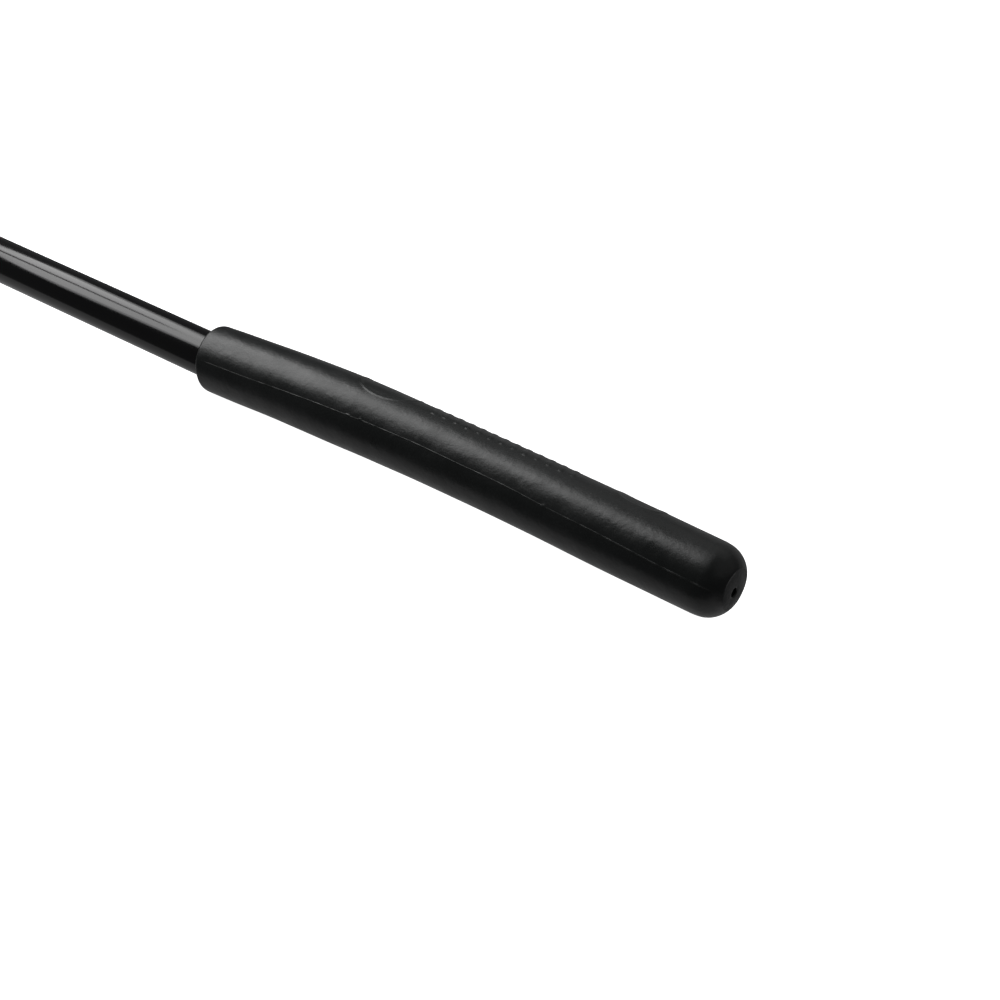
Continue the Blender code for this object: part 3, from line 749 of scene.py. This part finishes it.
# ---------------------------------------------------------------- head moulding and its hardware

PLATE = (604.0, 609.5)  # stations of its two faces
PLATE_HALF_WIDTH, PLATE_LOW = 19.0, 2.0
PLATE_HIGH = 46.0
SOCKET = (580.0, 603.4)  # stations of its mouth and its bottom
SOCKET_RADIUS = 8.0
FLARE_RADIUS = 13.0
GUSSET_HALF_WIDTH = 2.0
RIVET_STATION = 588.5
RIVET_RADIUS = 1.2
HINGE = (611.0, 53.0)  # station and height of the gate's hinge
LUG_RADIUS = 3.93
LUG_INNER, LUG_OUTER = 15.3, 18.8
LUG_FOOT = (36.0, 43.5)  # heights its foot on the plate spans
EYE_STEPS = 16
PIN_RADIUS = 1.5
PIN_HEAD_RADIUS = 2.7
PIN_HOLE = PIN_RADIUS + 0.1
SCREW_PLACES = ((-14.0, 12.0), (14.0, 12.0), (-14.0, 36.0), (14.0, 36.0))
SCREW_RADIUS = 1.3
SCREW_HEAD = 1.5  # depth of its countersunk head
CROSS_BAR = ((-1.5, -0.3), (1.5, -0.3), (1.5, 0.3), (-1.5, 0.3))


def lug_outline():
    """A hinge lug from the side: a foot on the plate and a round eye about the pin."""
    eye = []
    for k in range(EYE_STEPS + 1):
        turn = math.radians(-20 + 200 * k / EYE_STEPS)
        eye.append((HINGE[0] + LUG_RADIUS * math.cos(turn), HINGE[1] + LUG_RADIUS * math.sin(turn)))
    rear, front, (low, high) = PLATE[0] + 0.5, PLATE[1] - 0.5, LUG_FOOT
    return [(rear, low), (front, low), (front, high), (PLATE[1] + 1.5, high)] + eye


def bar(low, high, radius):
    """The turned profile of a plain round bar."""
    return [(low, 0.0), (low, radius), (high, radius), (high, 0.0)]


def make_head_body():
    """Socket, plate, gusset and hinge lugs, as one moulding."""
    outline = box_outline(-PLATE_HALF_WIDTH, PLATE_HALF_WIDTH, PLATE_LOW, PLATE_HIGH, 3.0)
    body = prism("head_moulding", "end", outline, *PLATE, NYLON, 1.0, 0.6)
    bore = tube_radius(6) + 0.1
    socket = [
        (PLATE[0] + 1.5, 0.0, 0.0),
        (PLATE[0] + 1.5, FLARE_RADIUS, 0.0),
        (PLATE[0] - 0.6, FLARE_RADIUS - 0.4, 0.5),
        (PLATE[0] - 4.5, SOCKET_RADIUS + 0.9, 6.0),
        (SOCKET[0] + 4.2, SOCKET_RADIUS, 0.3),
        (SOCKET[0] + 4.0, SOCKET_RADIUS + 0.5, 0.3),
        (SOCKET[0], SOCKET_RADIUS + 0.4, 1.1),
        (SOCKET[0], bore, 0.5),
        (SOCKET[1], bore, 0.0),
        (SOCKET[1], 0.0, 0.0),
    ]
    added = [turned("socket", rounded(socket, 5), None, 64)]
    low = AXIS_Z + SOCKET_RADIUS - 2.5
    back = PLATE[0] + 1.0
    gusset = [(back, low, 0.0), (back, PLATE_HIGH - 3.0, 0.0), (PLATE[0] - 0.5, PLATE_HIGH - 3.0, 0.3)]
    gusset += [(598.0, 30.0, 9.0), (SOCKET[0] + 8.0, low + 1.5, 0.5), (SOCKET[0] + 8.0, low, 0.0)]
    sides = (-GUSSET_HALF_WIDTH, GUSSET_HALF_WIDTH)
    added.append(prism("gusset", "side", rounded(gusset), *sides, None, 0.5, 0.5))
    for side in (-1, 1):
        ends = sorted((side * LUG_INNER, side * LUG_OUTER))
        added.append(prism("lug", "side", lug_outline(), *ends, None, 0.5, 0.5))
    join_or_cut(body, added, "UNION")
    wide = PLATE_HALF_WIDTH + 3
    holes = [
        turned("pin_hole", bar(-wide, wide, PIN_HOLE), None, 32, ("Y", *HINGE)),
        turned("rivet_hole", bar(-20.0, 20.0, RIVET_RADIUS + 0.1), None, 32, ("Y", RIVET_STATION, AXIS_Z)),
    ]
    pilot = bar(PLATE[0] - 3, PLATE[1] + 3, SCREW_RADIUS + 0.1)
    for y, z in SCREW_PLACES:
        holes.append(turned("pilot", pilot, None, 24, ("X", y, z)))
    join_or_cut(body, holes)
    ease_edges(body, 0.3)
    place(body, "head", "head_body")


def make_rivet():
    """A dome-headed rivet through the socket and the last tube."""
    reach = span("head_rivet", 1)[1]
    seat = reach - 1.0
    dome = [(seat, RIVET_RADIUS, 0.0), (seat, 2.2, 0.0), (seat + 0.5, 2.1, 0.5)]
    dome += [(reach, 1.2, 0.5), (reach, 0.5, 0.1), (reach - 0.25, 0.0, 0.0)]
    half = [(0.0, RIVET_RADIUS)] + rounded(dome)
    profile = [(-at, radius) for at, radius in reversed(half)] + half[1:]
    rivet = turned("head_rivet_turned", profile, STEEL, 40, ("Y", RIVET_STATION, AXIS_Z))
    place(rivet, "head", "head_rivet")


def make_pin():
    """The hinge pin: a domed head at one end and a chamfered tip at the other."""
    low, high = span("hinge_pin", 1)
    under = low + 1.4
    groove = (high - 1.5, high - 0.9)
    corners = [
        (low, 0.0, 0.0),
        (low, 1.9, 0.9),
        (under - 0.35, PIN_HEAD_RADIUS, 0.3),
        (under, PIN_HEAD_RADIUS, 0.2),
        (under, PIN_RADIUS, 0.1),
        (groove[0], PIN_RADIUS, 0.1),
        (groove[0], PIN_RADIUS - 0.2, 0.05),
        (groove[1], PIN_RADIUS - 0.2, 0.05),
        (groove[1], PIN_RADIUS, 0.1),
        (high, PIN_RADIUS - 0.45, 0.2),
        (high, 0.0, 0.0),
    ]
    pin = turned("hinge_pin_turned", rounded(corners, 3), STEEL, 40, ("Y", *HINGE))
    place(pin, "head", "hinge_pin")


CLIP_TEETH = 6
CLIP_THICKNESS = 0.3
CLIP_DISH = 0.22  # how far the teeth's tips lean out
SLIT_DEPTH = 0.85
TOOTH_STEPS, SLIT_STEPS = 16, 4  # points round a tooth and its slit, and round the slit alone


def make_clip():
    """A push-on retaining ring: a flat rim and dished teeth that bite on the pin."""
    inner = span("hinge_pin_clip", 1)[0]
    bottom, top = span("hinge_pin_clip", 2)
    rim = (top - bottom) / 2
    points, around = [], CLIP_TEETH * TOOTH_STEPS
    for k in range(around):
        turn = 2 * math.pi * k / around
        slit = k % TOOTH_STEPS < SLIT_STEPS
        bore = PIN_RADIUS + (SLIT_DEPTH if slit else 0.05)
        tip = inner + (0.0 if slit else CLIP_DISH)
        section = ((rim, inner + CLIP_THICKNESS), (rim, inner), (bore, tip), (bore, tip + CLIP_THICKNESS))
        for radius, y in section:
            points.append((x_of(HINGE[0]) + radius * math.sin(turn), y, HINGE[1] + radius * math.cos(turn)))
    clip = add_mesh("pin_clip_stamping", points, ring_faces(around, 4), STEEL)
    face_outward(clip)
    crease(clip, 30)
    place(clip, "head", "hinge_pin_clip")


def make_screws():
    """Countersunk screws with a cross recess, their threads inside the plate."""
    for k, (y, z) in enumerate(SCREW_PLACES, 1):
        node = f"cradle_screw_{k}"
        tip, face = stations_of(node)
        corners = [(face, 0.0, 0.0), (face, 2.75, 0.12), (face - SCREW_HEAD, SCREW_RADIUS, 0.2)]
        corners += [(tip + 0.8, SCREW_RADIUS, 0.0), (tip, 0.8, 0.1), (tip, 0.0, 0.0)]
        screw = turned(f"{node}_turned", rounded(corners, 3), STEEL, 40, ("X", y, z))
        turn = math.radians(17 + 41 * k)  # each was driven home at its own angle
        bars = []
        for angle in (turn, turn + math.pi / 2):
            ahead = Vector((math.cos(angle), math.sin(angle)))
            aside = Vector((-math.sin(angle), math.cos(angle)))
            outline = [tuple(Vector((y, z)) + ahead * i + aside * j) for i, j in CROSS_BAR]
            bars.append(prism("recess", "end", outline, face - 0.9, face + 1.0))
        join_or_cut(screw, bars)
        crease(screw, 35)
        place(screw, "head", node)


# ---------------------------------------------------------------- gate spring

COIL_RADIUS = 3.1
WIRE_RADIUS = 0.5
COIL_HALF_WIDTH = 7.4
COIL_TURNS = 5
COIL_STEPS = 32  # points in a turn
COIL_PITCH = 2 * COIL_HALF_WIDTH / (COIL_TURNS + 1)
COIL_START = math.pi  # the rear leg runs straight up into the coil behind the hinge
LAST_TURN = 0.93  # share of a turn that goes with the gate
LAST_DRIFT = 0.35  # how far it moves along the pin
LEG_LEAVES = COIL_START + math.radians(100)
LEG_REACH = 13.6  # the front leg rests on the gate this far ahead of the hinge


def coil_point(turn, y):
    """A point of the coil: turn 0 is towards the head's tip, and a quarter turn on is down."""
    return (x_of(HINGE[0] + COIL_RADIUS * math.cos(turn)), y, HINGE[1] - COIL_RADIUS * math.sin(turn))


def make_spring():
    """The torsion spring: its coil and rear leg stay on the head, its last turn goes with the gate."""
    foot = x_of(HINGE[0] - COIL_RADIUS)
    path = [(foot, -COIL_HALF_WIDTH, z) for z in spread(PLATE_HIGH + 0.3, HINGE[1] - 1.0, 1.0)]
    for k in range(COIL_TURNS * COIL_STEPS + 1):
        turn = 2 * math.pi * k / COIL_STEPS
        path.append(coil_point(COIL_START + turn, -COIL_HALF_WIDTH + COIL_PITCH * turn / (2 * math.pi)))
    coil = swept("gate_spring_coil", path, WIRE_RADIUS, STEEL)
    place(coil, "head", "gate_spring")
    path = []
    for k in range(COIL_STEPS + 1):
        turn = LEG_LEAVES - 2 * math.pi * (COIL_STEPS - k) / COIL_STEPS * LAST_TURN
        path.append(coil_point(turn, COIL_HALF_WIDTH - LAST_DRIFT * (1 - k / COIL_STEPS)))
    leaves = Vector(path[-1])
    rest = Vector((x_of(HINGE[0] + LEG_REACH), COIL_HALF_WIDTH, GATE_TOP + WIRE_RADIUS))
    path += [tuple(leaves.lerp(rest, k / 10)) for k in range(1, 11)]
    place(swept("gate_spring_leg", path, WIRE_RADIUS, STEEL), "gate")


# ---------------------------------------------------------------- ball cage and gate

CAGE_WALL = 2.5
CAGE_FLOOR = 3.0
CAGE_REAR_HIGH = 43.0
SLOT_WIDTH = 4.0
FLOOR_SLOT_PITCH = 8.0
SIDE_SLOTS = ((618.5, 41.0), (627.5, 41.0), (636.5, 31.0), (645.5, 17.5))  # station, top
SLOT_ROUND = SLOT_WIDTH / 2 * 0.99
SINK_RADIUS = 2.95  # round each screw's head
OVER = 2.0  # a cutter runs this far past the wall it cuts

GATE_LOW, GATE_TOP = 50.2, 53.2
GATE_THICKNESS = GATE_TOP - GATE_LOW
GATE_FRONT = 664.5
GATE_BOTTOM = 36.0
GATE_FLARE = 4.0
GATE_RAIL = 4.6
GATE_RIB = 3.0
GATE_WINDOWS = ((624.0, 639.0), (643.0, 657.0))
GATE_MARGIN = 2.5  # round each window and about its edges
KNUCKLE_RADIUS = 3.4
KNUCKLE = (9.0, 15.0)


def make_cage():
    """The orange cage: low lip in front, high sides behind, round-ended slots, softened inside."""
    start, end = stations_of("ball_cradle")
    wide, high = span("ball_cradle", 1)[1], span("ball_cradle", 2)[1]
    corners = [(start, 0.0, 1.5), (end - 3.0, 0.0, 5.0), (end, 7.5, 1.3), (650.0, 20.0, 14.0)]
    corners += [(632.0, high, 8.0), (start, high, 1.5)]
    cage = prism("ball_cage", "side", rounded(corners, 8), -wide, wide, ORANGE, 1.1, 1.1)
    inner, rear, front = wide - CAGE_WALL, start + CAGE_WALL, end - CAGE_WALL
    over = high + OVER
    rear_opening = box_outline(-inner, inner, CAGE_REAR_HIGH, over + 5, 3.0)
    cutters = [
        prism("inside", "plan", box_outline(rear, front, -inner, inner, 5.0), CAGE_FLOOR, over, None, 1.6),
        prism("rear", "end", rear_opening, start - OVER, rear + OVER),
    ]
    join_or_cut(cage, cutters)
    cutters = []
    half = SLOT_WIDTH / 2
    for k in range(-2, 3):
        y = k * FLOOR_SLOT_PITCH
        outline = box_outline(rear + 9.0, front - 6.0, y - half, y + half, SLOT_ROUND)
        cutters.append(prism("floor_slot", "plan", outline, -OVER, CAGE_FLOOR + OVER))
    for station, top in SIDE_SLOTS:
        outline = box_outline(station - half, station + half, 8.5, top, SLOT_ROUND)
        cutters.append(prism("side_slot", "side", outline, -wide - OVER, wide + OVER))
    shank = SCREW_RADIUS + 0.15
    sink = [(rear + OVER, 0.0), (rear + OVER, SINK_RADIUS), (rear, SINK_RADIUS), (rear - 1.7, shank)]
    sink += [(start - OVER, shank), (start - OVER, 0.0)]
    for y, z in SCREW_PLACES:
        cutters.append(turned("screw_hole", sink, None, 40, ("X", y, z)))
    join_or_cut(cage, cutters)
    ease_edges(cage, 0.35)
    place(cage, "head", "ball_cradle")


def make_gate():
    """The orange gate: a bent frame with a middle rib and windows, hung on two knuckles."""
    wide = span("ball_gate", 1)[1]
    inner_front = GATE_FRONT - GATE_THICKNESS
    step = GATE_THICKNESS * math.tan(math.radians(22.5))
    rear = HINGE[0] + 2.5
    corners = [
        (rear, GATE_TOP, 0.0),
        (rear, GATE_LOW, 0.0),
        (inner_front, GATE_LOW, 4.0),
        (inner_front, GATE_BOTTOM, 1.5),
        (inner_front + GATE_FLARE, GATE_BOTTOM - GATE_FLARE, 0.8),
        (inner_front + GATE_FLARE + GATE_THICKNESS, GATE_BOTTOM - GATE_FLARE + 1.5, 0.8),
        (GATE_FRONT, GATE_BOTTOM + step, 2.5),
        (GATE_FRONT, GATE_TOP, 7.0),
    ]
    gate = prism("ball_gate_moulding", "side", rounded(corners, 8), -wide, wide, ORANGE, 0.9, 0.9)
    low, high = GATE_LOW - OVER, GATE_TOP + OVER
    behind, rail = HINGE[0] - OVER, wide - GATE_RAIL
    notch = box_outline(behind, HINGE[0] + 10.0, -KNUCKLE[0], KNUCKLE[0], 1.5)
    cutters = [prism("notch", "plan", notch, low, high)]
    for side in (-1, 1):
        ends = sorted((side * KNUCKLE[1], side * (wide + OVER)))
        cutters.append(prism("corner", "plan", box_outline(behind, HINGE[0] + 5.5, *ends, 1.5), low, high))
        ends = sorted((side * GATE_RIB, side * rail))
        for stations in GATE_WINDOWS:
            cutters.append(prism("window", "plan", box_outline(*stations, *ends, GATE_MARGIN), low, high))
        outline = box_outline(*ends, GATE_BOTTOM + GATE_MARGIN, GATE_LOW - GATE_MARGIN, GATE_MARGIN)
        cutters.append(prism("front_window", "end", outline, inner_front - OVER, GATE_FRONT + OVER))
    join_or_cut(gate, cutters)
    knuckles = []
    for side in (-1, 1):
        low_y, high_y = sorted((side * KNUCKLE[0], side * KNUCKLE[1]))
        ring = [(low_y, PIN_HOLE), (low_y, KNUCKLE_RADIUS), (high_y, KNUCKLE_RADIUS), (high_y, PIN_HOLE)]
        knuckles.append(turned("knuckle", softened(ring, 0.4), None, 48, ("Y", *HINGE)))
    join_or_cut(gate, knuckles, "UNION")
    ease_edges(gate, 0.35)
    place(gate, "gate", "ball_gate")


# ---------------------------------------------------------------- finishes of the CAD nodes that stay


def finish_cad_nodes():
    """Every CAD node gets the finish of its material, and those with no detailed piece keep it."""
    slots = {row["node"]: row["material_slot"] for row in frame["record"]["subparts"]}
    finishes = {
        "grip_rubber": RUBBER,
        "black_enamel": ENAMEL,
        "bright_aluminium": BRIGHT,
        "black_nylon": NYLON,
        "natural_acetal": ACETAL,
        "orange_plastic": ORANGE,
        "steel": STEEL,
    }
    for name, obj in frame["nodes"].items():
        obj.data.materials.clear()
        obj.data.materials.append(finishes[slots[name]])


# ---------------------------------------------------------------- camera, light and floor

FOCAL_LENGTH = 67.3
VIEW_DISTANCE = 750.4
VIEW_FROM_AXIS = 60.7  # degrees between the view and the pole
VIEW_RISE = 11.0  # degrees the view is raised about the pole
VIEW_ROLL = 24.77  # degrees the pole falls to the right in the picture
AIM_STATION = 107.75
AIM_DROP = 4.3


def make_camera():
    """A camera at the butt's end of the pole, looking down its side, as in the reference."""
    rise, off = math.radians(VIEW_RISE), math.radians(VIEW_FROM_AXIS)
    outward = Vector((0.0, -math.cos(rise), math.sin(rise)))
    across = Vector((0.0, math.sin(rise), math.cos(rise)))
    pole = Vector((1.0, 0.0, 0.0))
    back = pole * math.cos(off) + outward * math.sin(off)
    pole_seen = pole * math.sin(off) - outward * math.cos(off)
    roll = math.radians(VIEW_ROLL)
    right = pole_seen * math.cos(roll) + across * math.sin(roll)
    up = across * math.cos(roll) - pole_seen * math.sin(roll)
    aim = Vector((x_of(AIM_STATION), 0.0, AXIS_Z)) - across * AIM_DROP
    data = bpy.data.cameras.new("camera")
    data.lens = FOCAL_LENGTH
    data.clip_start, data.clip_end = 0.01, 100.0
    camera = bpy.data.objects.new("camera", data)
    bpy.context.scene.collection.objects.link(camera)
    turn = Matrix((right, up, back)).transposed().to_4x4()
    camera.matrix_world = Matrix.Translation((aim + back * VIEW_DISTANCE) * MM) @ turn
    bpy.context.scene.camera = camera


def add_panel(name, corner, along_edge, up_edge, radiance):
    """A rectangular light facing the pole, from one corner and its two edges in metres."""
    corner, along_edge, up_edge = Vector(corner), Vector(along_edge), Vector(up_edge)
    light = bpy.data.lights.new(name, "AREA")
    light.shape = "RECTANGLE"
    light.size, light.size_y = along_edge.length, up_edge.length
    light.energy = radiance * math.pi * light.size * light.size_y
    middle = corner + (along_edge + up_edge) / 2
    side, up = along_edge.normalized(), up_edge.normalized()
    if side.cross(up).dot(middle) < 0:
        up = -up
    obj = bpy.data.objects.new(name, light)
    bpy.context.scene.collection.objects.link(obj)
    turn = Matrix((side, up, side.cross(up))).transposed().to_4x4()
    obj.matrix_world = Matrix.Translation(middle) @ turn
    obj.visible_camera = False


# The two ends of the soft boxes' middle line: x and distance from the pole in metres, and degrees up
SOFT_BOX_NEAR = (-0.75, 0.45, 59.0)
SOFT_BOX_FAR = (-0.12, 1.19, 57.0)
# Where each panel starts and ends on the line, how far up from it it begins and ends, its radiance
SOFT_BOXES = {
    "box_high_near": (0.0, 0.31, 0.034, 0.37, 4.2),
    "box_low_near": (0.0, 0.31, -0.034, -0.36, 4.2),
    "box_high_near_edge": (0.0, 0.31, 0.37, 0.48, 1.5),
    "box_low_near_edge": (0.0, 0.31, -0.36, -0.47, 2.4),
    "box_middle": (0.31, 0.43, -0.38, 0.26, 4.4),
    "box_middle_high": (0.31, 0.43, 0.26, 0.4, 1.5),
    "box_middle_low": (0.31, 0.43, -0.37, -0.45, 1.6),
    "box_past_middle": (0.43, 0.6, -0.29, 0.3, 3.4),
    "box_past_middle_high": (0.43, 0.6, 0.3, 0.45, 1.5),
    "box_past_middle_low": (0.43, 0.6, -0.29, -0.4, 1.4),
    "box_far": (0.6, 0.88, -0.27, 0.16, 3.6),
    "box_far_high": (0.6, 0.88, 0.16, 0.32, 1.1),
    "box_far_low": (0.6, 0.88, -0.27, -0.38, 1.8),
    "box_tail": (0.88, 1.1, -0.3, 0.24, 1.3),
    "box_end": (1.12, 1.5, -0.7, 0.6, 0.8),
}
# The dim panels that fill in from under, behind, beside the butt and above: corner, edges, radiance
CARDS = {
    "floor_card": ((-1.0, -0.12, -0.25), (1.7, 0.0, 0.0), (0.0, 1.3, 0.0), 0.26),
    "back_card": ((-1.0, 1.2, -0.2), (2.0, 0.0, 0.0), (0.0, 0.0, 1.9), 0.16),
    "butt_box": ((1.3, -0.9, 0.35), (0.0, 1.5, 0.0), (-0.5, 0.0, 0.8), 0.14),
    "top_card": ((-0.7, -0.2, 1.15), (1.5, 0.0, 0.0), (0.0, 0.8, 0.0), 0.3),
}


def make_lights():
    """A parted soft box over the head's end of the pole, and the dim cards."""
    ends = []
    for x, away, rise in (SOFT_BOX_NEAR, SOFT_BOX_FAR):
        turn = math.radians(rise)
        out = Vector((0.0, -math.cos(turn), math.sin(turn)))
        ends.append(Vector((x, 0.0, AXIS_Z * MM)) + out * away)
    near, far = ends
    edge = far - near
    up = Vector((1.0, 0.0, 0.0)).cross(near)
    up -= edge * up.dot(edge) / edge.length_squared
    up = up.normalized() * math.copysign(1.0, up.z)
    for name, (start, end, low, high, radiance) in SOFT_BOXES.items():
        corner = near + edge * start + up * low
        add_panel(name, corner, edge * (end - start), up * (high - low), radiance)
    for name, panel in CARDS.items():
        add_panel(name, *panel)


def make_floor():
    """A plain white floor that runs out of sight."""
    far, drop = 30.0 / MM, 0.2
    points = [(x, y, -drop) for x, y in ((-far, -far), (far, -far), (far, far), (-far, far))]
    recipe = Recipe("white_floor")
    recipe.set(Roughness=0.9, Specular_IOR_Level=0.0, Emission_Strength=1.1)
    recipe.shader.inputs["Emission Color"].default_value = (1.0, 1.0, 1.0, 1.0)
    mottle = recipe.noise(3.0, 2)
    recipe.colour(recipe.mix(mottle, (0.86, 0.86, 0.86, 1.0), (0.9, 0.9, 0.9, 1.0)))
    floor = add_mesh("floor", points, [(0, 1, 2, 3)], recipe.material)
    floor.visible_glossy = False
    floor.visible_diffuse = False


def make_world():
    """White where the camera looks past the floor, and nearly dark to everything else."""
    world = bpy.data.worlds.new("studio")
    world.use_nodes = True
    tree = world.node_tree
    output = tree.nodes["World Output"]
    seen, unseen = tree.nodes["Background"], tree.nodes.new("ShaderNodeBackground")
    unseen.inputs["Color"].default_value = (0.07, 0.07, 0.072, 1.0)
    seen.inputs["Color"].default_value = (1.0, 1.0, 1.0, 1.0)
    seen.inputs["Strength"].default_value = 1.1
    path, pick = tree.nodes.new("ShaderNodeLightPath"), tree.nodes.new("ShaderNodeMixShader")
    tree.links.new(path.outputs["Is Camera Ray"], pick.inputs["Fac"])
    tree.links.new(unseen.outputs["Background"], pick.inputs[1])
    tree.links.new(seen.outputs["Background"], pick.inputs[2])
    tree.links.new(pick.outputs["Shader"], output.inputs["Surface"])
    bpy.context.scene.world = world


# ---------------------------------------------------------------- the scene

make_camera()
finish_cad_nodes()
make_grip()
for number in range(1, SECTIONS + 1):
    make_tube(number)
for number in range(1, SECTIONS):
    make_collar(number)
make_head_body()
make_rivet()
make_pin()
make_clip()
make_screws()
make_spring()
make_cage()
make_gate()
make_lights()
make_floor()
make_world()
bpy.context.scene.view_settings.view_transform = "Standard"
